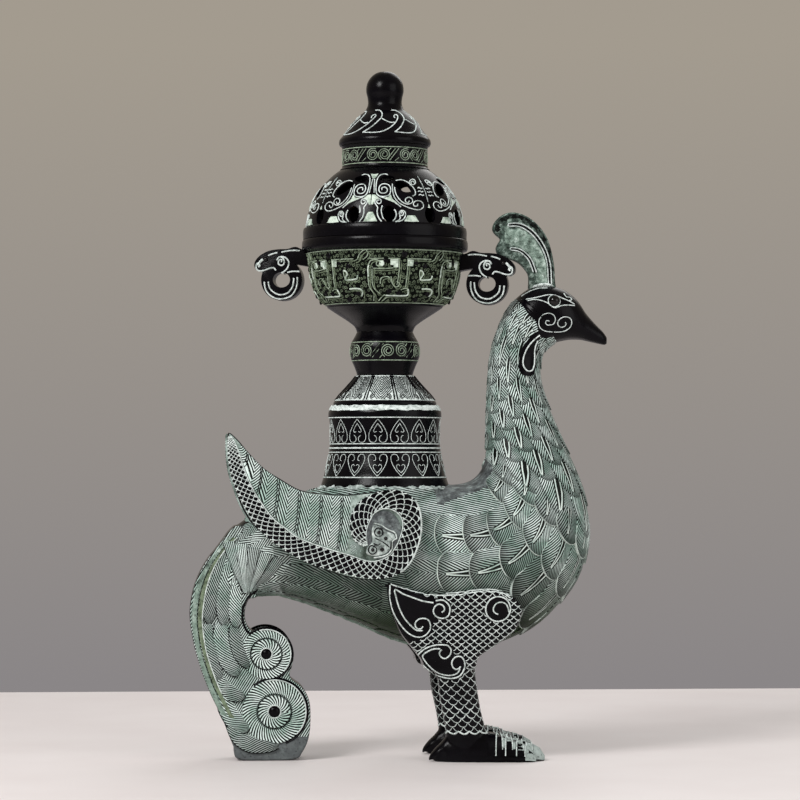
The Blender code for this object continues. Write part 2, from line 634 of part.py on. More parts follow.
def build_legs(body_block):
    for name, side in (("left", 1.0), ("right", -1.0)):
        thigh = plate(THIGH_OUTLINE, lambda x: THIGH_OUT * side, lambda x: THIGH_IN * side, 1.8)
        lean = Matrix.Identity(4)
        lean[1][2] = SHANK_LEAN * side
        lean[1][3] = -SHANK_LEAN * side * THIGH_TOP
        bmesh.ops.transform(thigh, matrix=lean, verts=thigh.verts)
        leg = finish(name + "_leg", thigh, "black_bronze")
        boolean(leg, body_block, "DIFFERENCE")
        rings = []
        for z, x, half in SHANK_RINGS:
            ring = []
            middle = side * (FOOT_Y + SHANK_LEAN * (z - SHANK_RINGS[-1][0]))
            for i in range(14):
                a = math.tau * i / 14
                ring.append(Vector((x + half * math.cos(a), middle + SHANK_HALF * math.sin(a), z)))
            rings.append(ring)
        boolean(leg, tool(name + "_shank", loft(rings)), "UNION")
        root = side * FOOT_Y
        for i, (tip_x, spread) in enumerate(FRONT_TOES):
            claw = toe(tip_x, root + side * spread, root + side * spread * 0.35, TOE_ROOT_X)
            boolean(leg, tool(f"{name}_toe_{i}", claw), "UNION")
        spur = toe(HIND_TOE_X, root, root, TOE_ROOT_X + 8.0)
        bmesh.ops.scale(spur, vec=(1.0, 1.0, 0.7), verts=spur.verts)
        boolean(leg, tool(name + "_hind_toe", spur), "UNION")
        tip = THIGH_OUT - 5.0
        hole = rod(LEG_BOLT_RADIUS + GAP, (LEG_BOLT_X, 26 * side, LEG_BOLT_Z),
                   (LEG_BOLT_X, (tip + GAP) * side, LEG_BOLT_Z))
        boolean(leg, tool(name + "_leg_hole", hole), "DIFFERENCE")
        fixing(name + "_leg_bolt", LEG_BOLT_X, LEG_BOLT_Z, side, 29.5, tip, LEG_BOLT_RADIUS, 12)


for old in list(bpy.data.objects):
    bpy.data.objects.remove(old, do_unlink=True)

MATERIALS = make_materials()
build_column()
build_handles()
build_cover()
build_body()
build_head()
build_tail()
flank_block = tool("flank_block", body_solid(GAP))
saddle_block = tool("saddle_block", seat_boss(GAP))
build_wings(flank_block, saddle_block)
build_legs(flank_block)
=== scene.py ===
import json
import math

import bmesh
import bpy
from mathutils import Matrix, Vector, noise
from mathutils.bvhtree import BVHTree

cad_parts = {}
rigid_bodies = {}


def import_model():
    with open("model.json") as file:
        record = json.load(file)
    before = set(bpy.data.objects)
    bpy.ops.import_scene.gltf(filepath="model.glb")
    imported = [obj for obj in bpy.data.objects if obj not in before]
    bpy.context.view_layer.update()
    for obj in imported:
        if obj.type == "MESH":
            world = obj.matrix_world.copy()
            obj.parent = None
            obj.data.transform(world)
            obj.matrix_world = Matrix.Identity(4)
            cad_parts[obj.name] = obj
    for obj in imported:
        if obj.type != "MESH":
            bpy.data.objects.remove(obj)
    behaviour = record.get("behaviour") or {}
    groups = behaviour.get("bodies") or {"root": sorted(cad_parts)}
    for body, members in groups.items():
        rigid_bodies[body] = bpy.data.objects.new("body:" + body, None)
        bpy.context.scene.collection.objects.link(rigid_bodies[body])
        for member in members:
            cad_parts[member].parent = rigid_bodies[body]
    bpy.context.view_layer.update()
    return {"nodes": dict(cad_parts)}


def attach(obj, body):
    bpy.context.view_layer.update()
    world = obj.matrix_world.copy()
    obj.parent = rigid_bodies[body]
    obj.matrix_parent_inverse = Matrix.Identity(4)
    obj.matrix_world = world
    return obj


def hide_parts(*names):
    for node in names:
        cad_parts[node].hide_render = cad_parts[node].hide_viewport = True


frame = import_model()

mm = 0.001  # shapes below are in millimetres, finished meshes in metres
towerX = -8.5  # upright axis of the column
facing = -93.8  # degrees round that axis to the side that the camera sees
fullTurn = 2 * math.pi
up = Vector((0.0, 0.0, 1.0))
nearSide = Vector((0.0, -1.0, 0.0))  # the bird's right, towards the camera


def linear(hexColour):
    parts = [int(hexColour[i:i + 2], 16) / 255 for i in (1, 3, 5)]
    return tuple(p / 12.92 if p <= 0.04045 else ((p + 0.055) / 1.055) ** 2.4 for p in parts) + (1.0,)


def addNode(tree, kind, settings=None, links=None):
    # lower case settings belong to the node, the rest are its sockets
    node = tree.nodes.new("ShaderNode" + kind)
    for key, value in (settings or {}).items():
        if isinstance(key, str) and key[0].islower():
            setattr(node, key, value)
        else:
            node.inputs[key].default_value = value
    for key, source in (links or {}).items():
        tree.links.new(source, node.inputs[key])
    return node


def newMaterial(name, shaderSettings):
    material = bpy.data.materials.new(name)
    material.use_nodes = True
    tree = material.node_tree
    shader = tree.nodes["Principled BSDF"]
    for key, value in shaderSettings.items():
        shader.inputs[key].default_value = value
    return material, tree, shader


def setRamp(node, stops):
    ramp = node.color_ramp
    while len(ramp.elements) < len(stops):
        ramp.elements.new(0.5)
    for element, (place, colour) in zip(ramp.elements, stops):
        element.position = place
        element.color = linear(colour) if isinstance(colour, str) else (colour, colour, colour, 1.0)


def patternScale(size):
    return 1.0 / (size * mm)  # noise cells of this many millimetres


oliveHeights = (135.0, 70.0, 0.75)  # none above the first height, this share below the second


def makeFinish(name, look):
    # A look gives noises as cell in mm, detail and roughness. Tones colour the cloud, olive comes
    # in low down, specks of another colour lie over it; roughness and bump follow a named noise.
    material, tree, shader = newMaterial(name, look["shader"])
    place = addNode(tree, "TexCoord").outputs["Object"]
    fields = {}
    for key in ("cloud", "speck", "grit"):
        if key in look:
            size, detail, grain = look[key]
            settings = {"Scale": patternScale(size), "Detail": detail, "Roughness": grain}
            fields[key] = addNode(tree, "TexNoise", settings, {"Vector": place}).outputs["Fac"]
    if "marks" in look:
        settings = {"wave_type": "BANDS", "bands_direction": "Z", "Distortion": 0.6}
        settings["Scale"] = patternScale(look["marks"]) / 6
        fields["marks"] = addNode(tree, "TexWave", settings, {"Vector": place}).outputs["Fac"]
    tone = addNode(tree, "ValToRGB", None, {"Fac": fields["cloud"]})
    setRamp(tone, look["tones"])
    colour = tone.outputs["Color"]
    layers = []
    if "olive" in look:
        height = addNode(tree, "SeparateXYZ", None, {"Vector": place}).outputs["Z"]
        high, low, share = oliveHeights
        settings = {"From Min": high * mm, "From Max": low * mm, "To Max": share}
        lowDown = addNode(tree, "MapRange", settings, {"Value": height}).outputs["Result"]
        layers.append((look["olive"], lowDown))
    if "speckMask" in look:
        mask = addNode(tree, "ValToRGB", None, {"Fac": fields["speck"]})
        setRamp(mask, look["speckMask"])
        layers.append((look["speckColour"], mask.outputs["Color"]))
    for shade, mask in layers:
        settings = {"data_type": "RGBA", 7: linear(shade)}
        colour = addNode(tree, "Mix", settings, {0: mask, 6: colour}).outputs[2]
    tree.links.new(colour, shader.inputs["Base Color"])
    if "rough" in look:
        field, smooth, dull = look["rough"]
        rough = addNode(tree, "MapRange", {"To Min": smooth, "To Max": dull}, {"Value": fields[field]})
        tree.links.new(rough.outputs["Result"], shader.inputs["Roughness"])
    if "bump" in look:
        field, strength, depth = look["bump"]
        settings = {"Strength": strength, "Distance": depth * mm}
        bump = addNode(tree, "Bump", settings, {"Height": fields[field]})
        tree.links.new(bump.outputs["Normal"], shader.inputs["Normal"])
    return material


def patinaLook(dark, middle, pale, cloud, speck, olive=None, gloss=0.2, bare=0.56):
    # Cast bronze with a powdery copper-carbonate patina rubbed back: chalky, with dark metal
    # showing through in specks.
    return {
        "shader": {"Metallic": 0.1, "Specular IOR Level": gloss}, "cloud": (cloud, 8.0, 0.65),
        "tones": [(0.33, dark), (0.5, middle), (0.68, pale)], "olive": olive or middle,
        "speck": (speck, 4.0, 0.5), "speckMask": [(bare, 0.0), (0.7, 0.7)], "speckColour": dark,
        "rough": ("cloud", 0.52, 0.8), "bump": ("speck", 0.25, 0.5),
    }


def inlayLook(dull, bright, crumb):
    # Patina rubbed into cut lines: dry, matt, broken up where it has worn off.
    return {
        "shader": {"Metallic": 0.0, "Specular IOR Level": 0.2}, "cloud": (crumb, 5.0, 0.7),
        "tones": [(0.34, dull), (0.56, bright)], "rough": ("cloud", 0.65, 0.9),
    }


def metalLook(dark, bright, smooth, dull, cell):
    # Bare turned or plated metal kept indoors: bright with cloudy tarnish and fine tool marks.
    return {
        "shader": {"Metallic": 1.0}, "cloud": (5 * cell, 5.0, 0.5), "tones": [(0.35, dark), (0.65, bright)],
        "rough": ("cloud", smooth, dull), "marks": cell, "bump": ("marks", 0.08, 0.2),
    }


# Cast bronze blackened with a hot chemical patina and waxed: near black with a cool purple cast,
# soft satin highlights, and a faint grey dust left in the pores.
blackBronzeLook = {
    "shader": {"Metallic": 0.0, "Specular IOR Level": 0.1},
    "cloud": (14.0, 4.0, 0.5), "tones": [(0.3, "#020103"), (0.6, "#060509")],
    "speck": (2.6, 6.0, 0.7), "speckMask": [(0.55, 0.0), (0.8, 0.55)], "speckColour": "#111014",
    "rough": ("speck", 0.12, 0.32), "grit": (0.9, 3.0, 0.5), "bump": ("grit", 0.12, 0.6),
}
# Fired glass bead: deep black-brown, wet highlight, faint cloud inside.
eyeGlassLook = {
    "shader": {"Metallic": 0.0, "IOR": 1.52, "Specular IOR Level": 0.3},
    "cloud": (3.0, 3.0, 0.5), "tones": [(0.3, "#030203"), (0.7, "#0a0809")], "rough": ("cloud", 0.06, 0.16),
}
featherLook = {
    "ink": "#080e0a", "line": "#effff9", "wash": "#a9c7ba", "olive": "#384d2f", "rim": "#dbe7df",
    "pitch": 1.25, "wideSide": 40.0, "narrowSide": 22.0, "oliveFrom": 128.0, "oliveTo": 82.0,
}
# the tail has no olive: its heights lie below the table
tailLook = {**featherLook, "line": "#f0fff9", "wash": "#b7d4c7", "oliveFrom": -20.0, "oliveTo": -300.0}


def makeFeather(name, look):
    # Engraved feathers under a rubbed patina: chalk lines stand on dark cuts, so each feather
    # reads as fine slanting barbs either side of a slit quill with a bright rim at the tip.
    # The real cuts are about 0.7 mm apart, drawn at 1.25 mm so that they show.
    material, tree, shader = newMaterial(name, {"Metallic": 0.0, "Specular IOR Level": 0.14})
    place = addNode(tree, "TexCoord").outputs["Object"]
    made = {"own": addNode(tree, "Attribute", {"attribute_name": "tone"}).outputs["Fac"]}
    for uvName in ("share", "size"):
        uv = addNode(tree, "UVMap", {"uv_map": uvName}).outputs["UV"]
        axes = addNode(tree, "SeparateXYZ", None, {"Vector": uv}).outputs
        made[uvName + "X"], made[uvName + "Y"] = axes["X"], axes["Y"]
    made["up"] = addNode(tree, "SeparateXYZ", None, {"Vector": place}).outputs["Z"]
    settings = {"Scale": patternScale(7.0), "Detail": 2.0}
    made["wobble"] = addNode(tree, "TexNoise", settings, {"Vector": place}).outputs["Fac"]
    settings = {"Scale": patternScale(17.0), "Detail": 7.0, "Roughness": 0.66}
    cloud = addNode(tree, "TexNoise", settings, {"Vector": place})
    wide, narrow = math.radians(look["wideSide"]), math.radians(look["narrowSide"])
    wideOften, narrowOften = (math.sin(side) / look["pitch"] for side in (wide, narrow))
    rows = [  # name, operation and inputs; a range has a source, two values of it and the two they become
        ("centred", "ADD", "shareX", -0.5), ("aside", "ABSOLUTE", "centred"),
        ("across", "MULTIPLY", "aside", 2.0),
        # barbs: lines that leave the quill at one angle on one side and a closer one on the other
        ("upper", "GREATER_THAN", "sizeX", 0.0),
        ("slope", "range", "upper", 0.0, 1.0, -1 / math.tan(wide), -1 / math.tan(narrow)),
        ("often", "range", "upper", 0.0, 1.0, wideOften, narrowOften),
        ("reach", "ABSOLUTE", "sizeX"), ("level", "MULTIPLY_ADD", "reach", "slope", "sizeY"),
        ("shaken", "MULTIPLY_ADD", "wobble", 0.7, "level"), ("phase", "MULTIPLY", "shaken", "often"),
        ("turns", "MULTIPLY", "phase", fullTurn), ("wave", "SINE", "turns"),
        ("barb", "range", "wave", -0.1, 0.5, 0.0, 1.0),
        # quill: a dark slit that closes towards the tip, with a chalk line and a dark cut each side
        ("slit", "range", "shareY", 0.3, 0.8, 0.085, 0.0), ("short", "LESS_THAN", "shareY", 0.82),
        ("inSlit", "LESS_THAN", "across", "slit"), ("lineEdge", "ADD", "slit", 0.06),
        ("nearLine", "LESS_THAN", "across", "lineEdge"), ("inLine", "MULTIPLY", "nearLine", "short"),
        ("cutEdge", "ADD", "slit", 0.125), ("nearCut", "LESS_THAN", "across", "cutEdge"),
        ("inCut", "MULTIPLY", "nearCut", "short"),
        # bright rim round the tip
        ("tipRim", "GREATER_THAN", "shareY", 0.974), ("atSide", "GREATER_THAN", "across", 0.945),
        ("outerPart", "GREATER_THAN", "shareY", 0.62), ("sideRim", "MULTIPLY", "atSide", "outerPart"),
        ("rim", "MAXIMUM", "tipRim", "sideRim"), ("barbs", "SUBTRACT", "barb", "inCut"),
        ("chalk", "MAXIMUM", "barbs", "inLine"), ("openChalk", "SUBTRACT", "chalk", "inSlit"),
        ("height", "MAXIMUM", "openChalk", "rim"), ("rough", "range", "height", 0.0, 1.0, 0.42, 0.75),
        # olive low down, each feather a little apart, painted shade darkening each feather towards its tip,
        # chalk worn in patches
        ("low", "range", "up", look["oliveFrom"] * mm, look["oliveTo"] * mm, 0.0, 1.0),
        ("shade", "range", "own", 0.0, 1.0, 0.5, 1.05),
        ("tipShade", "range", "shareY", 0.68, 0.97, 1.0, 0.34),
        ("inner", "MULTIPLY", "shade", "tipShade"), ("quillLine", "SUBTRACT", "inLine", "inSlit"),
        ("bright", "MAXIMUM", "quillLine", "rim"), ("patchy", "range", "wobble", 0.35, 0.6, 0.15, 0.85),
        ("worn", "MULTIPLY", "bright", "patchy"),
    ]
    for label, operation, *inputs in rows:
        if operation == "range":
            settings = dict(zip(("From Min", "From Max", "To Min", "To Max"), inputs[1:]))
            made[label] = addNode(tree, "MapRange", settings, {"Value": made[inputs[0]]}).outputs["Result"]
        else:
            settings = {i: value for i, value in enumerate(inputs) if not isinstance(value, str)}
            settings.update({"operation": operation, "use_clamp": operation == "SUBTRACT"})
            links = {i: made[value] for i, value in enumerate(inputs) if isinstance(value, str)}
            made[label] = addNode(tree, "Math", settings, links).outputs[0]
    tone = addNode(tree, "ValToRGB", None, {"Fac": cloud.outputs["Fac"]})
    setRamp(tone, [(0.4, look["wash"]), (0.58, look["line"])])
    settings = {"data_type": "RGBA", 7: linear(look["olive"])}
    green = addNode(tree, "Mix", settings, {0: made["low"], 6: tone.outputs["Color"]})
    lit = addNode(tree, "VectorMath", {"operation": "SCALE"}, {0: green.outputs[2], "Scale": made["inner"]})
    settings = {"data_type": "RGBA", 6: linear(look["ink"])}
    drawn = addNode(tree, "Mix", settings, {0: made["height"], 7: lit.outputs[0]})
    settings = {"data_type": "RGBA", 7: linear(look["rim"])}
    colour = addNode(tree, "Mix", settings, {0: made["worn"], 6: drawn.outputs[2]})
    bump = addNode(tree, "Bump", {"Strength": 0.4, "Distance": 0.4 * mm}, {"Height": made["height"]})
    tree.links.new(colour.outputs[2], shader.inputs["Base Color"])
    tree.links.new(made["rough"], shader.inputs["Roughness"])
    tree.links.new(bump.outputs["Normal"], shader.inputs["Normal"])
    return material


blackBronze = makeFinish("black_patinated_cast_bronze", blackBronzeLook)
eyeGlass = makeFinish("black_glass_bead", eyeGlassLook)
featherPatina = makeFeather("hatched_feather_patina", featherLook)
tailPatina = makeFeather("hatched_tail_patina", tailLook)
# grey-green sides of the wings, olive where they come low
patina = makeFinish(
    "verdigris_patinated_bronze", patinaLook("#2a332c", "#82928a", "#bac9c2", 11.0, 1.6, "#43533d"),
)
# bare patches, plain grey with a fine stipple
greyStipple = makeFinish("grey_stippled_bronze", patinaLook("#1e2122", "#575c5d", "#929d9a", 6.0, 1.4))
# ground of the bowl's band, nearly black with a green cast
darkGreen = makeFinish(
    "dark_green_bronze_relief", patinaLook("#020302", "#060906", "#10160e", 9.0, 1.4, gloss=0.05),
)
# crest: mottled grey-green, a darkened edge and a paler field
crestPatina = makeFinish(
    "rubbed_grey_green_bronze", patinaLook("#060a08", "#4c5d54", "#a9bbb0", 3.2, 1.2, bare=0.45),
)
crestDark = makeFinish(
    "darkened_green_bronze", patinaLook("#030504", "#0e1210", "#55635b", 3.4, 1.2, gloss=0.08),
)
crestPale = makeFinish("pale_rubbed_bronze", patinaLook("#2b362f", "#7e9286", "#c4d4ca", 4.5, 1.3, bare=0.53))
# claws and masks, rubbed nearly white on the high spots; also the painted highlight on the toe plates
rubbedPaleAndHighlight = makeFinish("rubbed_pale_bronze_and_painted_highlight", patinaLook("#2e3231", "#a3afaa", "#e0e8e4", 5.0, 1.6))
# chalk-white lines, then greener and darker ones
inlay = makeFinish("chalky_patina_inlay", inlayLook("#8b9791", "#dfe8e4", 2.2))
dullInlay = makeFinish("worn_verdigris_inlay", inlayLook("#55644f", "#9dac98", 2.6))
deepInlay = makeFinish("dark_olive_inlay", inlayLook("#2f3a2a", "#75836b", 3.0))
paleFill = makeFinish("pale_verdigris_fill", inlayLook("#7d907f", "#cddacd", 3.2))
brass = makeFinish("turned_brass_liner", metalLook("#8f7443", "#b3965b", 0.34, 0.5, 1.4))
steel = makeFinish("zinc_plated_steel_fixing", metalLook("#8b8d8e", "#b1b2b0", 0.3, 0.5, 1.8))
slotOf = {blackBronze.name: "black_bronze", eyeGlass.name: "black_bronze", brass.name: "liner_brass"}
print("materials ready")


def newThing(name, data):
    thing = bpy.data.objects.new(name, data)
    bpy.context.collection.objects.link(thing)
    return thing


def meshFrom(bm, name):
    mesh = bpy.data.meshes.new(name)
    bm.to_mesh(mesh)
    bm.free()
    return mesh


def shapedMesh(thing):
    # what the object's modifiers or bevel make of it; the object itself goes
    bpy.context.view_layer.update()
    shaped = bpy.data.meshes.new_from_object(thing.evaluated_get(bpy.context.evaluated_depsgraph_get()))
    bm = bmesh.new()
    bm.from_mesh(shaped)
    bpy.data.batch_remove([shaped, thing, thing.data])
    return bm


def finishPiece(name, bm, material, body="bird", nodes=(), slot=None, sharp=35.0, merge=True):
    if merge:
        bmesh.ops.remove_doubles(bm, verts=bm.verts, dist=0.0005)
        bmesh.ops.recalc_face_normals(bm, faces=bm.faces)
    bmesh.ops.scale(bm, vec=(mm, mm, mm), verts=bm.verts)
    mesh = meshFrom(bm, name)
    mesh.shade_smooth()
    mesh.set_sharp_from_angle(angle=math.radians(sharp))
    mesh.materials.append(material)
    piece = newThing(name, mesh)
    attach(piece, body)
    if nodes:
        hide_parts(*nodes)
    slot = slot or slotOf.get(material.name, "patinated_bronze")
    return piece


def finishPair(name, bm, material, nodes=(), **more):
    # the near, right-hand piece as built and its mirror image on the left
    other = bm.copy()
    bmesh.ops.scale(other, vec=(1.0, -1.0, 1.0), verts=other.verts)
    bmesh.ops.reverse_faces(other, faces=other.faces)
    right = finishPiece("right_" + name, bm, material, nodes=["right_" + n for n in nodes], **more)
    left = finishPiece("left_" + name, other, material, nodes=["left_" + n for n in nodes], **more)
    return right, left


def addFinish(piece, material, chosen):
    # the faces that the test picks take another material
    piece.data.materials.append(material)
    for face in piece.data.polygons:
        if chosen(face):
            face.material_index = len(piece.data.materials) - 1


def curveStep(a, b, c, d, t):
    # Catmull-Rom curve from b to c
    return 0.5 * (
        2 * b + (c - a) * t + (2 * a - 5 * b + 4 * c - d) * t * t + (3 * b - a - 3 * c + d) * t ** 3
    )


def smoothRun(points, steps=4, closed=False):
    # a smooth curve through the points
    spots = [Vector(p) for p in points]
    count = len(spots)
    out = []
    for i in range(count if closed else count - 1):
        near = [(i + k) % count if closed else min(max(i + k, 0), count - 1) for k in (-1, 0, 1, 2)]
        out += [curveStep(*(spots[n] for n in near), k / steps) for k in range(steps)]
    return out if closed else out + [spots[-1]]


def curve2(points, steps=3):
    return [(q.x, q.y) for q in smoothRun(points, steps)]


def runLengths(points):
    # distance gone at each point
    gone = [0.0]
    for a, b in zip(points, points[1:]):
        gone.append(gone[-1] + (b - a).length)
    return gone


def between(rows, x):
    # straight lines between sorted points
    for (ax, az), (bx, bz) in zip(rows, rows[1:]):
        if x <= bx:
            return az + (bz - az) * max(0.0, x - ax) / (bx - ax)
    return rows[-1][1]


def inside(outline, x, z):
    hit = False
    for (ax, az), (bx, bz) in zip(outline, outline[1:] + outline[:1]):
        if (az > z) != (bz > z) and x < (bx - ax) * (z - az) / (bz - az) + ax:
            hit = not hit
    return hit


def spiral(cx, cz, outer, inner, turns, start, steps=14):
    # from the outside in; negative turns wind the other way
    count = max(4, int(abs(turns) * steps))
    out = []
    for i in range(count + 1):
        a = math.radians(start) + fullTurn * turns * (i / count)
        r = outer + (inner - outer) * (i / count)
        out.append((cx + r * math.cos(a), cz + r * math.sin(a)))
    return out


def turnedPiece(runs, steps=120, rows=4):
    # each run is a smooth curve of radius and height; runs meet in crisp edges
    bm = bmesh.new()
    line = []
    for run in runs:
        for r, z in smoothRun(run, rows):
            if not line or (line[-1].co - Vector((towerX + r, 0.0, z))).length > 0.01:
                line.append(bm.verts.new((towerX + r, 0.0, z)))
    edges = [bm.edges.new(pair) for pair in zip(line, line[1:])]
    if (line[0].co - line[-1].co).length > 0.01 and not (line[0].co.x == line[-1].co.x == towerX):
        edges.append(bm.edges.new((line[-1], line[0])))
    bmesh.ops.spin(
        bm, geom=line + edges, cent=(towerX, 0.0, 0.0), axis=up, angle=fullTurn, steps=steps, use_merge=True,
    )
    bmesh.ops.remove_doubles(bm, verts=bm.verts, dist=0.0005)
    bmesh.ops.dissolve_degenerate(bm, edges=bm.edges, dist=0.0005)
    return bm


def joinInto(bm, other):
    mesh = meshFrom(other, "joined")
    bm.from_mesh(mesh)
    bpy.data.meshes.remove(mesh)


def evaluated(bm, changes):
    # runs modifiers on a loose mesh and hands the result back
    thing = newThing("work", meshFrom(bm, "work"))
    for kind, settings in changes:
        change = thing.modifiers.new(kind.lower(), kind)
        for key, value in settings.items():
            setattr(change, key, value)
    return shapedMesh(thing)


def cutWith(bm, cutter):
    tool = newThing("cutter", meshFrom(cutter, "cutter"))
    bm = evaluated(bm, [("BOOLEAN", {"object": tool, "operation": "DIFFERENCE", "solver": "EXACT"})])
    bpy.data.batch_remove([tool, tool.data])
    return bm


def layLines(name, paths, material, body="bird", radius=0.45, pair=False, sides=1):
    # thin round cords along the paths, as one piece or a pair
    curve = bpy.data.curves.new("lines", "CURVE")
    curve.dimensions = "3D"
    curve.bevel_depth = radius
    curve.bevel_resolution = sides
    curve.use_fill_caps = True
    for path in paths:
        spline = curve.splines.new("POLY")
        spline.points.add(len(path) - 1)
        for point, spot in zip(spline.points, path):
            point.co = (*spot, 1.0)
    finish = finishPair if pair else finishPiece
    return finish(name, shapedMesh(newThing("lines", curve)), material, body=body, merge=False, sharp=60.0)


studio = {
    "from": (-133.0, -1895.0, 178.2), "at": (0.6, 0.0, 214.2), "lens": 142.44, "sensor": 36.0,
    "wallTop": "#a39b8f", "wallLow": "#8a8687", "wallRise": (-0.07, 0.13), "ambient": 0.5,
    # lamps in metres: place, size and power
    "lamps": {
        "key_softbox": ((-1.0, -1.15, 1.25), 0.6, 24.0), "fill_softbox": ((1.3, -1.2, 0.7), 1.2, 7.0),
        "back_softbox": ((0.5, 1.2, 1.3), 1.0, 6.0),
    },
    "lampsAt": (0.0, 0.0, 0.2), "tableBack": 552.0, "tableHalf": (2.4, 1.2, 1.0),
    # table top: painted board, a little uneven
    "board": {
        "shader": {"Roughness": 0.55}, "cloud": (90.0, 3.0, 0.5),
        "tones": [(0.3, "#e4dbd9"), (0.7, "#e9e1df")],
    },
}


def buildStudio():
    camera = newThing("camera", bpy.data.cameras.new("camera"))
    camera.data.lens = studio["lens"]
    camera.data.sensor_width = studio["sensor"]
    camera.data.clip_end = 20.0
    camera.location = Vector(studio["from"]) * mm
    look = (Vector(studio["at"]) - Vector(studio["from"])) * mm
    camera.rotation_euler = look.to_track_quat("-Z", "Y").to_euler()
    bpy.context.scene.camera = camera
    for name, (spot, size, power) in studio["lamps"].items():
        lamp = bpy.data.lights.new(name, "AREA")
        lamp.size = size
        lamp.energy = power
        thing = newThing(name, lamp)
        thing.location = spot
        thing.rotation_euler = (Vector(studio["lampsAt"]) - Vector(spot)).to_track_quat("-Z", "Y").to_euler()
    bpy.context.scene.view_settings.view_transform = "Standard"

    # the wall is what camera, metal and glass see; the object is lit by plain white
    world = bpy.data.worlds.new("studio")
    bpy.context.scene.world = world
    world.use_nodes = True
    tree = world.node_tree
    tree.nodes.clear()
    way = addNode(tree, "SeparateXYZ", None, {"Vector": addNode(tree, "TexCoord").outputs["Generated"]})
    settings = dict(zip(("From Min", "From Max"), studio["wallRise"]))
    rise = addNode(tree, "MapRange", settings, {"Value": way.outputs["Z"]})
    settings = {"data_type": "RGBA", 6: linear(studio["wallLow"]), 7: linear(studio["wallTop"])}
    wall = addNode(tree, "Mix", settings, {0: rise.outputs["Result"]})
    seen = addNode(tree, "Background", {"Strength": 1.0}, {"Color": wall.outputs[2]})
    light = addNode(tree, "Background", {"Color": (1.0, 1.0, 1.0, 1.0), "Strength": studio["ambient"]})
    path = addNode(tree, "LightPath").outputs
    rays = path["Is Camera Ray"]
    for kind in ("Is Glossy Ray", "Is Transmission Ray"):
        rays = addNode(tree, "Math", {"operation": "MAXIMUM"}, {0: rays, 1: path[kind]}).outputs[0]
    mix = addNode(tree, "MixShader", None, {0: rays, 1: light.outputs[0], 2: seen.outputs[0]})
    addNode(tree, "OutputWorld", None, {"Surface": mix.outputs[0]})

    bm = bmesh.new()
    bmesh.ops.create_grid(bm, x_segments=1, y_segments=1, size=1.0)
    bmesh.ops.scale(bm, vec=studio["tableHalf"], verts=bm.verts)
    middle = studio["tableBack"] * mm - studio["tableHalf"][1]
    bmesh.ops.translate(bm, vec=(0.0, middle, 0.0), verts=bm.verts)
    table = newThing("table", meshFrom(bm, "table"))
    table.data.materials.append(makeFinish("painted_table_board", studio["board"]))
    print("studio ready")


buildStudio()

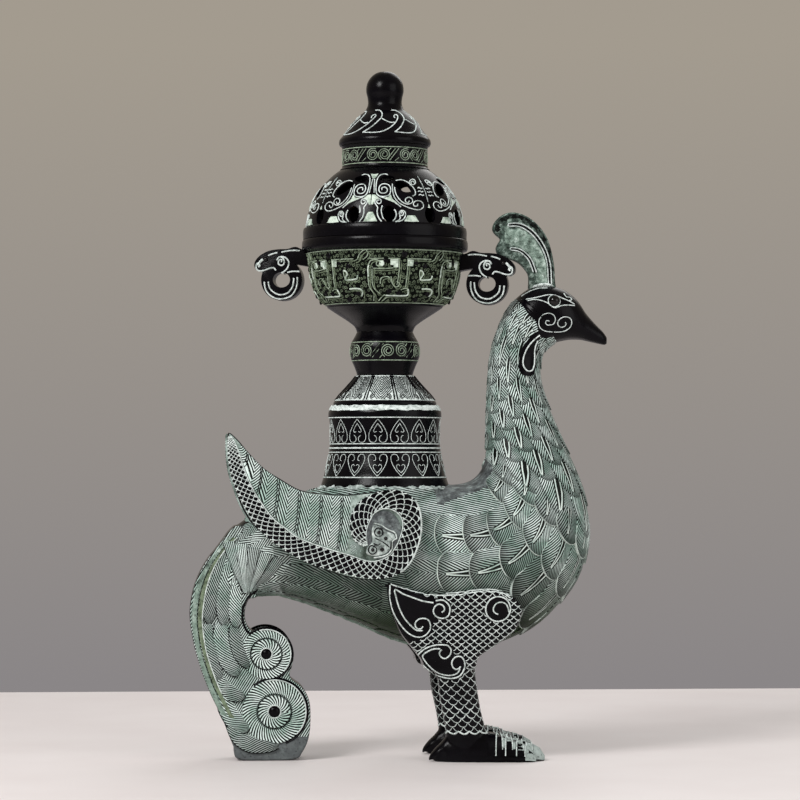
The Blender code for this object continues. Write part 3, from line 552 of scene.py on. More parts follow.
# turned pieces: runs of radius and height
columnShapes = {
    "pedestal": [
        [(3.4, 160.5), (34.0, 160.5)], [(34.0, 160.5), (38.4, 160.5)],
        [
            (38.4, 160.5), (38.3, 163.0), (37.4, 166.0), (36.4, 169.4), (35.5, 174.0), (34.2, 179.6),
            (33.3, 184.6), (33.0, 190.0), (33.0, 197.0), (33.3, 203.2),
        ],
        [(33.3, 203.2), (33.9, 203.5), (33.9, 206.4)], [(33.9, 206.4), (33.2, 208.4), (31.4, 211.0)],
        [(31.4, 211.0), (3.4, 211.0)],
    ],
    "skirt": [
        [(3.4, 211.3), (30.9, 211.3)], [(30.9, 211.3), (30.9, 212.5)],
        [(30.9, 212.5), (28.8, 215.4), (25.8, 219.0), (22.2, 222.6), (19.2, 226.2), (17.0, 229.0)],
        [(17.0, 229.0), (3.4, 229.0)],
    ],
    "stem_knop": [
        [(3.4, 229.3), (16.8, 229.3)],
        [
            (16.8, 229.3), (17.2, 231.0), (18.4, 234.2), (19.9, 237.6), (20.8, 240.8), (21.0, 243.6),
            (20.7, 246.4), (19.8, 249.2), (18.0, 252.4), (16.9, 254.7),
        ],
        [(16.9, 254.7), (3.4, 254.7)],
    ],
    "bowl": [
        [(3.4, 255.0), (16.9, 255.0)],
        [(16.9, 255.0), (17.4, 256.6), (18.8, 258.8), (23.4, 262.2), (29.1, 265.8), (34.5, 269.4)],
        [
            (34.5, 269.4), (35.2, 270.6), (38.6, 273.2), (41.3, 276.8), (43.2, 281.4), (44.7, 288.0),
            (46.0, 296.0), (46.9, 301.6),
        ],
        [(46.9, 301.6), (47.3, 302.7), (49.2, 303.4)],
        [(49.2, 303.4), (49.8, 304.8), (49.8, 308.0), (49.4, 309.5)], [(49.4, 309.5), (49.0, 310.0)],
        [(49.0, 310.0), (46.2, 310.0)], [(46.2, 310.0), (46.2, 305.0)],
        [
            (46.2, 305.0), (43.8, 301.4), (42.4, 294.0), (41.0, 286.0), (38.4, 279.6), (33.0, 273.8),
            (26.0, 270.0), (18.0, 268.0), (3.4, 268.0),
        ],
        [(3.4, 268.0), (3.4, 255.0)],
    ],
    "ash_cup": [
        [(0.0, 277.8), (23.5, 277.8)], [(23.5, 277.8), (23.5, 270.5)], [(23.5, 270.5), (25.4, 270.6)],
        [(25.4, 270.6), (27.5, 276.0), (33.0, 279.5), (36.6, 285.0), (37.9, 292.0), (38.5, 300.2)],
        [(38.5, 300.2), (37.9, 301.0), (37.2, 300.6)],
        [
            (37.2, 300.6), (36.4, 292.4), (35.1, 286.0), (31.5, 281.4), (24.0, 279.6), (12.0, 279.5),
            (0.0, 279.5),
        ],
    ],
    "dome_cover": [
        [(2.6, 352.0), (26.8, 352.0)],
        [
            (26.8, 352.0), (30.5, 349.4), (34.0, 346.2), (37.4, 342.6), (40.4, 338.8), (42.7, 335.0),
            (44.7, 330.6), (46.2, 325.8), (47.2, 320.6), (47.5, 317.6),
        ],
        [(47.5, 317.6), (48.0, 317.1), (48.8, 316.8)], [(48.8, 316.8), (49.2, 314.6), (49.1, 310.3)],
        [(49.1, 310.3), (45.7, 310.3)], [(45.7, 310.3), (45.7, 306.0)], [(45.7, 306.0), (42.8, 306.0)],
        [
            (42.8, 306.0), (43.2, 314.2), (44.2, 318.0), (42.4, 329.6), (39.4, 336.8), (35.0, 342.8),
            (31.4, 345.8), (27.5, 348.4),
        ],
        [(27.5, 348.4), (2.6, 348.4)], [(2.6, 348.4), (2.6, 352.0)],
    ],
    "vent_collar": [
        [(20.0, 352.3), (27.0, 352.3)], [(27.0, 352.3), (26.0, 353.2), (25.6, 354.8)],
        [(25.6, 354.8), (25.6, 360.0), (25.6, 364.8)], [(25.6, 364.8), (26.2, 366.3)],
        [(26.2, 366.3), (20.0, 366.3)], [(20.0, 366.3), (20.0, 352.3)],
    ],
    "cap_finial": [
        [(2.3, 366.6), (27.0, 366.6)], [(27.0, 366.6), (27.6, 368.0), (27.4, 370.0), (26.4, 371.4)],
        [(26.4, 371.4), (24.0, 374.4), (21.8, 377.4), (19.2, 381.0), (15.6, 384.6), (12.4, 387.2)],
        [
            (12.4, 387.2), (11.3, 388.8), (10.2, 391.8), (10.4, 395.5), (11.3, 400.0), (10.6, 404.6),
            (8.2, 408.4), (4.6, 410.9), (0.0, 411.7),
        ],
        [(0.0, 411.7), (0.0, 384.0)], [(0.0, 384.0), (2.3, 384.0)], [(2.3, 384.0), (2.3, 366.6)],
    ],
}

# cover openings: four repeats of one mask, angle from its middle, half sizes, height, radius, lift, twist
coverHoles = {
    "repeats": 4, "front": -104.0,
    "holes": [
        (-13.0, (3.7, 5.0), 322.4, 46.0, 10.0, 0.0), (13.0, (3.7, 5.0), 322.4, 46.0, 10.0, 0.0),
        (45.0, (3.7, 5.0), 322.4, 46.0, 10.0, 0.0), (-26.0, (3.4, 6.0), 338.2, 39.5, 34.0, -45.0),
        (26.0, (3.4, 6.0), 338.2, 39.5, 34.0, 45.0), (-12.6, (4.4, 2.6), 343.6, 35.5, 46.0, -12.0),
        (12.6, (4.4, 2.6), 343.6, 35.5, 46.0, 12.0),
    ],
}


def coverHolePlaces():
    # middle, turn and half sizes of every opening
    for repeat in range(coverHoles["repeats"]):
        for offset, size, z, radius, lift, twist in coverHoles["holes"]:
            a = math.radians(coverHoles["front"] + 360.0 * repeat / coverHoles["repeats"] + offset)
            e = math.radians(lift)
            out = Vector((math.cos(a) * math.cos(e), math.sin(a) * math.cos(e), math.sin(e)))
            turn = out.to_track_quat("Z", "Y").to_matrix() @ Matrix.Rotation(math.radians(twist), 3, "Z")
            yield Vector((towerX + radius * math.cos(a), radius * math.sin(a), z)), turn, size


def addCutter(bm, place, size, segments, depth):
    # an oval bar through the place
    place = place @ Matrix.Diagonal((*size, 1.0, 1.0))
    bmesh.ops.create_cone(
        bm, cap_ends=True, segments=segments, radius1=1.0, radius2=1.0, depth=depth, matrix=place,
    )


def buildColumn():
    for body, nodes, material in (
        ("bird", ("pedestal", "skirt", "stem_knop", "bowl"), blackBronze),
        ("ash_cup", ("ash_cup",), brass), ("cover", ("vent_collar", "cap_finial"), blackBronze),
    ):
        for node in nodes:
            finishPiece("turned_" + node, turnedPiece(columnShapes[node]), material, body, [node])
    # the dome is pierced after turning
    cutter = bmesh.new()
    for spot, turn, size in coverHolePlaces():
        addCutter(cutter, Matrix.Translation(spot) @ turn.to_4x4(), size, 28, 14.0)
    dome = turnedPiece(columnShapes["dome_cover"], 144)
    bmesh.ops.recalc_face_normals(dome, faces=dome.faces)
    finishPiece("pierced_dome", cutWith(dome, cutter), blackBronze, "cover", ["dome_cover"], sharp=40.0)
    print("column and cover turned")


buildColumn()


# body and neck: back point x and z, belly point x and z, half width, squareness of the upper half
bodyRings = [
    (-82.0, 146.5, -74.3, 99.9, 24.0, 2.3), (-65.0, 155.5, -59.0, 95.7, 31.5, 2.6),
    (-47.0, 161.5, -41.0, 89.0, 38.0, 3.0), (-29.0, 163.0, -22.0, 81.0, 42.5, 3.2),
    (-8.0, 163.2, -2.5, 72.5, 44.5, 3.2), (12.5, 163.2, 18.5, 67.5, 45.0, 3.2),
    (28.0, 163.2, 43.0, 67.0, 44.5, 3.0), (37.0, 163.8, 64.0, 71.6, 43.0, 2.8),
    (43.0, 165.6, 82.0, 80.6, 41.0, 2.6), (47.0, 168.6, 97.4, 95.0, 38.5, 2.4),
    (50.0, 172.8, 108.3, 111.0, 36.0, 2.3), (52.0, 178.2, 113.8, 133.0, 32.5, 2.2),
    (53.0, 185.4, 112.0, 153.0, 29.0, 2.2), (53.2, 193.8, 106.0, 172.0, 25.5, 2.2),
    (53.4, 203.5, 98.6, 188.5, 22.5, 2.2), (53.7, 213.0, 91.3, 206.0, 19.5, 2.2),
    (54.3, 224.0, 85.8, 221.6, 17.0, 2.2), (55.0, 235.0, 84.6, 235.0, 15.5, 2.2),
    (57.3, 247.4, 85.8, 241.0, 15.0, 2.2), (61.0, 258.3, 87.6, 244.0, 15.2, 2.2),
    (65.2, 267.3, 91.0, 247.0, 15.5, 2.2), (70.0, 275.0, 95.0, 249.0, 15.7, 2.2),
]
# head from inside the neck to the beak's tip
headRings = [
    (66.5, 270.0, 92.4, 247.7, 14.6, 2.2), (70.4, 275.2, 95.2, 249.1, 15.7, 2.2),
    (79.1, 281.6, 99.2, 250.0, 16.0, 2.2), (88.9, 283.1, 102.8, 250.6, 15.6, 2.2),
    (97.4, 281.4, 106.5, 250.7, 14.0, 2.2), (103.4, 278.1, 110.1, 250.5, 11.6, 2.2),
    (108.3, 273.3, 113.8, 249.7, 9.0, 2.2), (112.6, 266.9, 117.4, 248.9, 7.0, 2.2),
    (118.1, 260.6, 121.1, 248.1, 5.0, 2.2), (122.9, 255.8, 124.0, 247.6, 3.4, 2.2),
    (125.4, 252.4, 125.4, 248.2, 1.6, 2.2),
]


def ringAt(rings, s):
    i = min(max(int(math.floor(s)), 0), len(rings) - 2)
    near = (rings[min(max(i + k, 0), len(rings) - 1)] for k in (-1, 0, 1, 2))
    return [curveStep(*values, s - i) for values in zip(*near)]


def ringPoint(rings, s, angle, lower=2.2):
    # angle 0 is the back, a quarter turn the left side, half a turn the belly
    bx, bz, vx, vz, half, upper = ringAt(rings, s)
    top, bottom = Vector((bx, 0.0, bz)), Vector((vx, 0.0, vz))
    c, w = math.cos(angle), math.sin(angle)
    power = 2.0 / (upper if c >= 0 else lower)
    middle = (top + bottom) / 2
    aside = Vector((0.0, half * math.copysign(abs(w) ** power, w), 0.0))
    return middle + (top - middle) * math.copysign(abs(c) ** power, c) + aside


def ringNormal(rings, s, angle, step=0.05):
    a, b = ringPoint(rings, s - step, angle), ringPoint(rings, s + step, angle)
    c, d = ringPoint(rings, s, angle - step), ringPoint(rings, s, angle + step)
    return (b - a).cross(d - c).normalized()


def wrappedGrid(rings, along, around):
    # a flat grid wrapped into a closed skin through the rings
    bm = bmesh.new()
    bmesh.ops.create_grid(bm, x_segments=along, y_segments=around, size=0.5)
    for vert in bm.verts:
        vert.co = ringPoint(rings, (len(rings) - 1) * (vert.co.x + 0.5), fullTurn * (vert.co.y + 0.5))
    bmesh.ops.remove_doubles(bm, verts=bm.verts, dist=0.001)
    bmesh.ops.holes_fill(bm, edges=[e for e in bm.edges if e.is_boundary])
    bmesh.ops.recalc_face_normals(bm, faces=bm.faces)
    return bm


surfaces = {}  # plain shapes that ornament is laid on
plainShare = (0.75, 0.5)  # off the quill and the rim: hatching alone


def patternLayers(bm):
    tones, maps = bm.verts.layers.float, bm.loops.layers.uv
    tone = tones.get("tone") or tones.new("tone")
    share = maps.get("share") or maps.new("share")
    return tone, share, maps.get("size") or maps.new("size")


def hatchMap(bm, degrees, tone):
    # pattern maps for a plain hatch that runs at this slope seen from the side
    toneLayer, shareLayer, sizeLayer = patternLayers(bm)
    slope, spread = math.radians(degrees), math.sin(math.radians(featherLook["wideSide"]))
    for vert in bm.verts:
        vert[toneLayer] = tone
        for loop in vert.link_loops:
            loop[shareLayer].uv = plainShare
            loop[sizeLayer].uv = (-10.0, (vert.co.z * math.cos(slope) - vert.co.x * math.sin(slope)) / spread)


birdShape = {
    "boss": [
        [(0, 130), (41, 130)], [(41, 130), (41, 160.6)], [(41, 160.6), (40.6, 161.5), (39.8, 161.8)],
        [(39.8, 161.8), (0, 161.8)],
    ],
    "bareBack": (19.0, 60.0, 151.0, 0.35),  # from and to x, height at the first and slope
    "eye": (92.2, -13.0, 273.3), "eyeRadius": 3.75,
    "bodyGrid": (168, 96), "headGrid": (110, 72), "hatch": (-12.0, 0.45),
}


def onBareBack(face):
    x, z = face.center.x / mm, face.center.z / mm
    first, last, height, slope = birdShape["bareBack"]
    return first < x < last and z > height + slope * (x - first)


def buildBird():
    body = wrappedGrid(bodyRings, *birdShape["bodyGrid"])
    joinInto(body, turnedPiece(birdShape["boss"]))
    surfaces["body"] = BVHTree.FromBMesh(body)
    hatchMap(body, *birdShape["hatch"])
    piece = finishPiece("feathered_body", body, featherPatina, nodes=["bird_body"])
    addFinish(piece, greyStipple, onBareBack)
    head = wrappedGrid(headRings, *birdShape["headGrid"])
    surfaces["head"] = BVHTree.FromBMesh(head)
    finishPiece("head_casting", head, blackBronze, nodes=["head"])
    eye = bmesh.new()
    place = Matrix.Translation(birdShape["eye"])
    bmesh.ops.create_uvsphere(eye, u_segments=28, v_segments=18, radius=birdShape["eyeRadius"], matrix=place)
    finishPair("eye_bead", eye, eyeGlass, ["eye"], slot="eye_bead")
    print("body, neck and head lofted")


buildBird()

wingShape = {
    "outline": [
        (-102.8, 194.2), (-103.4, 187.4), (-102.4, 173.6), (-99.2, 162.0), (-94.7, 149.9), (-88.3, 140.0),
        (-77.3, 130.7), (-66.4, 123.4), (-52.7, 116.6), (-38.9, 111.3), (-25.1, 108.5), (-11.3, 109.0),
        (-2.2, 113.1), (5.2, 122.3), (9.4, 133.2), (9.8, 142.5), (7.1, 151.0), (0.5, 157.4), (-9.5, 160.4),
        (-20.6, 159.2), (-33.0, 158.0), (-48.1, 158.6), (-56.3, 159.5), (-63.6, 161.8), (-72.8, 167.3),
        (-81.9, 173.2), (-91.0, 182.4), (-97.4, 190.0),
    ],
    "out": 50.5, "in": 34.0, "sweep": 0.085, "sweepFrom": -11.0, "backSweep": 0.02, "paleFacing": 0.97,
    "rim": (1.3, 4, -41.0),
}
thighShape = {
    "outline": [
        (-9.8, 106.0), (-8.4, 92.6), (-2.3, 77.6), (4.4, 68.8), (10.5, 61.0), (15.5, 54.0), (40.3, 54.0),
        (44.0, 62.2), (53.9, 69.1), (64.4, 77.1), (69.1, 87.0), (68.5, 92.8), (62.6, 98.6), (53.9, 102.2),
        (44.0, 102.5), (32.3, 101.1), (20.7, 99.7), (9.0, 100.6), (-2.6, 104.1),
    ],
    "out": 50.0, "in": 27.0, "lean": 0.17, "top": 102.0, "footY": 25.0,
    "shank": [
        (66.0, 29.0, 15.4), (56.0, 30.2, 12.6), (48.0, 32.0, 11.4), (40.0, 33.0, 11.6), (30.0, 35.0, 11.5),
        (20.0, 37.2, 11.9), (9.0, 38.8, 12.4),
    ],
    "toe": [
        (-0.43, 2.0, 3.0), (-0.4, 4.0, 8.0), (-0.3, 5.6, 13.4), (-0.15, 6.4, 17.4), (0.0, 6.5, 19.0),
        (0.2, 6.5, 18.2), (0.36, 5.9, 16.0), (0.5, 6.0, 14.8), (0.62, 5.2, 12.4), (0.74, 5.1, 11.2),
        (0.84, 3.9, 9.4), (0.93, 2.9, 7.2), (1.0, 1.2, 2.4),
    ],
    "toes": [(85.0, 0.0), (78.5, 8.5), (79.0, -8.5)], "toeRoot": 39.0, "drop": 3.4,
    "crown": [(0.7, 1.5), (1.3, 1.1), (2.2, 0.6), (3.0, 0.3)], "deep": 9.0, "toeClose": 0.35,
    "spur": (15.5, 34.0, 0.5, 0.62), "melt": (0.9, 5),
}
tailShape = {
    "bareFoot": 14.0,
    "outline": [
        (-95.0, 138.6), (-110.2, 124.3), (-117.8, 113.7), (-123.0, 101.5), (-125.3, 88.2), (-124.5, 77.0),
        (-121.6, 62.7), (-117.3, 49.4), (-112.2, 37.2), (-107.1, 26.9), (-103.1, 17.0), (-99.0, 7.0),
        (-95.5, 0.0), (-64.0, 0.0), (-58.6, 4.0), (-55.0, 11.2), (-53.6, 21.3), (-54.1, 33.6),
        (-58.2, 42.4), (-65.8, 48.6), (-64.6, 55.0), (-63.4, 62.0), (-65.3, 69.5), (-70.4, 74.0),
        (-77.6, 75.2), (-84.7, 74.8), (-89.8, 77.4), (-92.4, 82.9), (-92.4, 89.1), (-89.8, 95.6),
        (-85.5, 99.4),
    ],
    "half": 15.0,
    "root": [
        (-68.0, 152.8, -60.5, 96.9, 28.6, 2.4), (-80.5, 148.8, -72.0, 98.9, 25.2, 2.4),
        (-92.5, 142.0, -81.5, 99.3, 21.4, 2.3), (-101.8, 134.6, -88.2, 97.8, 18.4, 2.3),
        (-110.0, 125.0, -92.0, 94.0, 16.6, 2.3), (-117.0, 112.5, -93.4, 87.5, 15.4, 2.3),
        (-121.0, 99.0, -94.4, 80.0, 14.0, 2.3),
    ],
    "hatch": (58.0, 0.5), "paleFacing": 0.5, "rootGrid": (48, 48), "melt": (1.0, 6),
}
crestShape = {
    "outline": [
        (93.7, 276.0), (93.9, 286.7), (93.4, 295.3), (91.8, 303.9), (89.4, 311.3), (85.6, 317.4),
        (79.8, 323.0), (73.3, 326.3), (67.1, 327.1), (61.6, 325.2), (57.6, 321.2), (56.4, 317.1),
        (57.9, 314.1), (61.0, 311.1), (59.4, 308.0), (58.5, 304.9), (60.6, 301.0), (69.0, 298.2),
        (73.0, 296.0), (76.0, 292.8), (78.2, 288.5), (79.4, 276.0),
    ],
    "half": 4.0, "rim": (1.4, 3),
}
handleShape = {
    "beast": [
        (38.0, 291.5), (38.0, 301.0), (48.5, 303.0), (53.5, 304.8), (58.5, 303.6), (64.0, 303.4),
        (70.0, 302.4), (75.5, 299.4), (78.4, 295.4), (77.8, 291.6), (74.8, 290.2), (71.5, 292.0),
    ],
    "loopRadius": 62.0, "loopZ": 285.0, "loopOuter": 12.4, "hole": (5.2, 4.6), "half": 5.5, "turn": -11.0,
    "lift": {"front_handle": -1.8, "rear_handle": 1.5}, "loop": (30.0, 260.0), "rim": (1.2, 3),
}


def outlinePlate(outline, near, far, crown=(), smooth=True):
    # a cut plate: near and far give y for an x, crown steps round the near face over
    bm = bmesh.new()
    line = smoothRun(outline, closed=True) if smooth else outline
    face = bm.faces.new([bm.verts.new((x, far(x), z)) for x, z in line])
    grown = bmesh.ops.extrude_face_region(bm, geom=[face], use_keep_orig=True)["geom"]
    for vert in grown:
        if isinstance(vert, bmesh.types.BMVert):
            vert.co.y = near(vert.co.x)
    front = next(f for f in grown if isinstance(f, bmesh.types.BMFace))
    bmesh.ops.recalc_face_normals(bm, faces=bm.faces)
    for width, rise in crown:
        bmesh.ops.inset_region(bm, faces=[front], thickness=width, depth=rise, use_even_offset=True)
    return bm


def roundRims(bm, offset, segments, beyond=1000.0):
    # rounds the edges of the large faces, or of those beyond a depth
    large = [f for f in bm.faces if len(f.verts) > 4 and f.calc_center_median().y < beyond]
    bmesh.ops.bevel(
        bm, geom=[e for f in large for e in f.edges], offset=offset, segments=segments, profile=0.5,
        affect="EDGES", clamp_overlap=True, material=-1,
    )


def wingFace(x):
    return -(wingShape["out"] - wingShape["sweep"] * max(0.0, wingShape["sweepFrom"] - x))


def wingBack(x):
    return -(wingShape["in"] + wingShape["backSweep"] * max(0.0, wingShape["sweepFrom"] - x))


def buildWing():
    bm = outlinePlate(wingShape["outline"], wingFace, wingBack)
    roundRims(bm, *wingShape["rim"])
    for piece in finishPair("wing_plate", bm, blackBronze, ["wing"]):
        addFinish(piece, patina, lambda face: abs(face.normal.y) > wingShape["paleFacing"])


def ringLoft(rings):
    bm = bmesh.new()
    loops = []
    for ring in rings:
        verts = [bm.verts.new(p) for p in ring]
        loops.append([bm.edges.new((verts[i - 1], verts[i])) for i in range(len(verts))])
    for first, second in zip(loops, loops[1:]):
        bmesh.ops.bridge_loops(bm, edges=first + second)
    for end in (loops[0], loops[-1]):
        bmesh.ops.contextual_create(bm, geom=end)
    bmesh.ops.recalc_face_normals(bm, faces=bm.faces)
    return bm


def toeLine(tipX, spread=0.0, rootX=thighShape["toeRoot"]):
    # root of a toe, the way to its tip and the way across it
    foot = -thighShape["footY"]
    root = Vector((rootX, foot + spread * thighShape["toeClose"], 0.0))
    along = Vector((tipX, foot + spread, 0.0)) - root
    return root, along, Vector((-along.y, along.x, 0.0)).normalized()


def archOver(spot, side, half, height, low, lift=0.0):
    arch = []
    for i in range(13):
        a = math.pi * i / 12
        rise = lift + height * (low + (1 - low) * math.sin(a) ** 0.8)
        arch.append(spot + side * half * math.cos(a) + Vector((0.0, 0.0, rise)))
    return arch


def toeSolid(root, along, side):
    rings = []
    for share, half, height in thighShape["toe"]:
        spot = root + along * share
        rings.append([spot + side * -half, spot + side * half] + archOver(spot, side, half, height, 0.12))
    return ringLoft(rings)


def shankY(z):
    return -(thighShape["footY"] + thighShape["lean"] * (z - 9.0))


def melted(bm, voxel, rounds):
    # one skin round the joined shapes, smoothed and set on the table
    smooth = ("SMOOTH", {"factor": 0.5, "iterations": rounds})
    bm = evaluated(bm, [("REMESH", {"mode": "VOXEL", "voxel_size": voxel}), smooth])
    bmesh.ops.translate(bm, vec=(0.0, 0.0, -min(v.co.z for v in bm.verts)), verts=bm.verts)
    return bm


def buildLeg():
    shape = thighShape
    near = shape["drop"] - shape["out"]
    bm = outlinePlate(shape["outline"], lambda x: near, lambda x: -shape["in"], shape["crown"])
    lean = Matrix.Identity(4)
    lean[1][2] = -shape["lean"]
    lean[1][3] = shape["lean"] * shape["top"]
    bmesh.ops.transform(bm, matrix=lean, verts=bm.verts)
    rings = []
    turns = [fullTurn * i / 32 for i in range(32)]
    for z, x, half in smoothRun(shape["shank"], 3):
        rings.append([(x + half * math.cos(a), shankY(z) + shape["deep"] * math.sin(a), z) for a in turns])
    joinInto(bm, ringLoft(rings))
    for tipX, spread in shape["toes"]:
        joinInto(bm, toeSolid(*toeLine(tipX, spread)))
    # the spur is a low toe that climbs
    tipX, rootX, low, slope = shape["spur"]
    spur = toeSolid(*toeLine(tipX, 0.0, rootX))
    bmesh.ops.scale(spur, vec=(1.0, 1.0, low), verts=spur.verts)
    climb = Matrix.Identity(4)
    climb[2][0], climb[2][3] = slope, -slope * tipX
    bmesh.ops.transform(spur, matrix=climb, verts=spur.verts)
    joinInto(bm, spur)
    bm = melted(bm, *shape["melt"])
    surfaces["leg"] = BVHTree.FromBMesh(bm)
    finishPair("leg_casting", bm, blackBronze, ["leg"], sharp=60.0)


def buildTail():
    half = tailShape["half"]
    bm = outlinePlate(tailShape["outline"], lambda x: -half, lambda x: half)
    joinInto(bm, wrappedGrid(tailShape["root"], *tailShape["rootGrid"]))
    bm = melted(bm, *tailShape["melt"])
    surfaces["tail"] = BVHTree.FromBMesh(bm)
    hatchMap(bm, *tailShape["hatch"])
    piece = finishPiece("tail_casting", bm, blackBronze, nodes=["tail"], slot="patinated_bronze", sharp=60.0)
    addFinish(piece, tailPatina, lambda face: abs(face.normal.y) > tailShape["paleFacing"])
    addFinish(piece, greyStipple, lambda face: face.center.z < tailShape["bareFoot"] * mm)


def buildCrest():
    half = crestShape["half"]
    bm = outlinePlate(crestShape["outline"], lambda x: -half, lambda x: half)
    roundRims(bm, *crestShape["rim"])
    finishPiece("crest_plate", bm, crestPatina, nodes=["crest"])


def buildHandles():
    shape = handleShape
    half, radius, height = shape["half"], shape["loopRadius"], shape["loopZ"]
    start, sweep = shape["loop"]
    outline = curve2(shape["beast"], 4)
    for i in range(33):
        a = math.radians(start - sweep * i / 32)
        outline.append((radius + shape["loopOuter"] * math.cos(a), height + shape["loopOuter"] * math.sin(a)))
    upright = Matrix.Rotation(math.radians(90), 4, "X")
    turn = Matrix.Rotation(math.radians(shape["turn"]), 3, "Z")
    for name, sign in (("front_handle", 1.0), ("rear_handle", -1.0)):
        around = [(towerX + sign * u, z) for u, z in outline]
        bm = outlinePlate(around, lambda x: -half, lambda x: half, smooth=False)
        roundRims(bm, *shape["rim"])
        eye = bmesh.new()
        place = Matrix.Translation((towerX + sign * radius, 0.0, height)) @ upright
        addCutter(eye, place, shape["hole"], 36, 30.0)
        bm = cutWith(bm, eye)
        bmesh.ops.rotate(bm, cent=(towerX, 0.0, 0.0), matrix=turn, verts=bm.verts)
        bmesh.ops.translate(bm, vec=(0.0, 0.0, shape["lift"][name]), verts=bm.verts)
        finishPiece("cast_" + name, bm, blackBronze, nodes=[name])


buildWing()
buildLeg()
buildTail()
buildCrest()
buildHandles()
print("wings, legs, tail, crest and handles cast")


def addPatch(bm, acrossStops, alongStops, place, marks=None, tone=0.5, outward=nearSide):
    # a grid laid on a surface: place turns shares into a spot, marks into the two pattern maps
    toneLayer, shareLayer, sizeLayer = patternLayers(bm)
    wide, long = len(acrossStops) - 1, len(alongStops) - 1
    made = bmesh.ops.create_grid(bm, x_segments=wide, y_segments=long, size=0.5)["verts"]
    shares = {}
    for vert in made:
        column, row = round((vert.co.x + 0.5) * wide), round((vert.co.y + 0.5) * long)
        shares[vert] = (acrossStops[column], alongStops[row])
    faces = {face for vert in made for face in vert.link_faces}
    for vert, (a, b) in shares.items():
        vert.co = place(a, b)
        vert[toneLayer] = tone(a) if callable(tone) else tone
    total = Vector()
    for face in faces:
        face.normal_update()
        total += face.normal * face.calc_area()
        for loop in face.loops:
            if marks:
                loop[shareLayer].uv, loop[sizeLayer].uv = marks(*shares[loop.vert])
    if total.dot(Vector(outward)) < 0:
        bmesh.ops.reverse_faces(bm, faces=list(faces))


def stepsOf(count):
    return [i / count for i in range(count + 1)]


def addFan(bm, outline, middle, stops, lay, outward=nearSide):
    # a patch from a middle point to a closed outline; lay puts a flat spot on its surface
    count = len(outline)

    def place(a, b):
        return lay(middle.lerp(outline[round(b * count) % count], a), a)

    addPatch(bm, stops, stepsOf(count), place, outward=outward)
    bmesh.ops.remove_doubles(bm, verts=bm.verts, dist=0.002)


def raised(a, b, rise, sunk=0.4):
    # a patch stands off its surface and dips under it along the edges
    return rise if 0.0 < a < 1.0 and 0.0 < b < 1.0 else -sunk


def onSide(surface, x, z, sink=0.2):
    # the spot of a plain shape, or the nearest of several, seen from the right at this x and z
    far = Vector((x, -300.0, z))
    hits = [surfaces[name].ray_cast(far, -nearSide)[0] for name in surface.split()]
    spots = [hit for hit in hits if hit]
    return min(spots, key=lambda spot: spot.y) + Vector((0.0, sink, 0.0)) if spots else None


def laidRuns(surface, points, sink=0.2, skip=None, deepest=0.0):
    # splits a flat path into the runs that land on the surface
    runs, run = [], []
    for x, z in points:
        spot = None if skip and skip(x, z) else onSide(surface, x, z, sink)
        if spot and spot.y < deepest and (not run or (spot - run[-1]).length < 5.0):
            run.append(spot)
        else:
            runs.append(run)
            run = []
    return [r for r in runs + [run] if len(r) > 1]


def flatRuns(lines, depth):
    # smooth paths at one depth
    return [[Vector((x, depth, z)) for x, z in curve2(line)] for line in lines]


# plumage: overlapping rows from the nape to the tail, each feather a small curved leaf
plumage = {
    "neckStep": 11.0, "bodyStep": 18.5, "around": 14, "aroundNeck": 9, "overlap": 1.45, "neckOverlap": 2.0,
    "bend": 0.33, "neckBend": 0.6, "tilt": 0.4, "neckFrom": 12.6, "nape": (8.0, 15.0), "seamDrop": 1.4,
    "bellyHatch": 0.8, "tipRise": 1.25, "crown": 0.6, "sink": 0.5, "from": 21.0, "to": 0.8,
    "plainBehind": 18.0,
    "across": [-1.0, -0.97, -0.87, -0.7, -0.45, -0.15, 0.15, 0.45, 0.7, 0.87, 0.97, 1.0],
    "along": [0.0, 0.3, 0.5, 0.66, 0.8, 0.9, 0.955, 0.985, 1.0],
    "rootRows": [(0.1, 2.0), (1.2, 3.2), (2.3, 4.4)], "column": (42.0, 150.0), "underWing": 25.0,
    "underThigh": 20.0, "tailEdge": (-94.0, 10.0), "bareBack": (18.0, 55.0, 152.0), "bellyBelow": 112.0,
    "seamRadius": 1.15,
}


def coveredPlumage(spot, sRoot):
    # under the wing, the column or the thigh, on the bare part of the back, or on the tail's black edge
    if abs(spot.y) > plumage["underWing"] and inside(wingShape["outline"], spot.x, spot.z):
        return True
    reach, height = plumage["column"]
    if math.hypot(spot.x - towerX, spot.y) < reach and spot.z > height:
        return True
    behind, half = plumage["tailEdge"]
    if spot.x < behind and abs(spot.y) < half:
        return True
    if abs(spot.y) > plumage["underThigh"] and inside(thighShape["outline"], spot.x, spot.z):
        return True
    first, last, height = plumage["bareBack"]
    return first < spot.x < last and spot.z > height and sRoot < 13


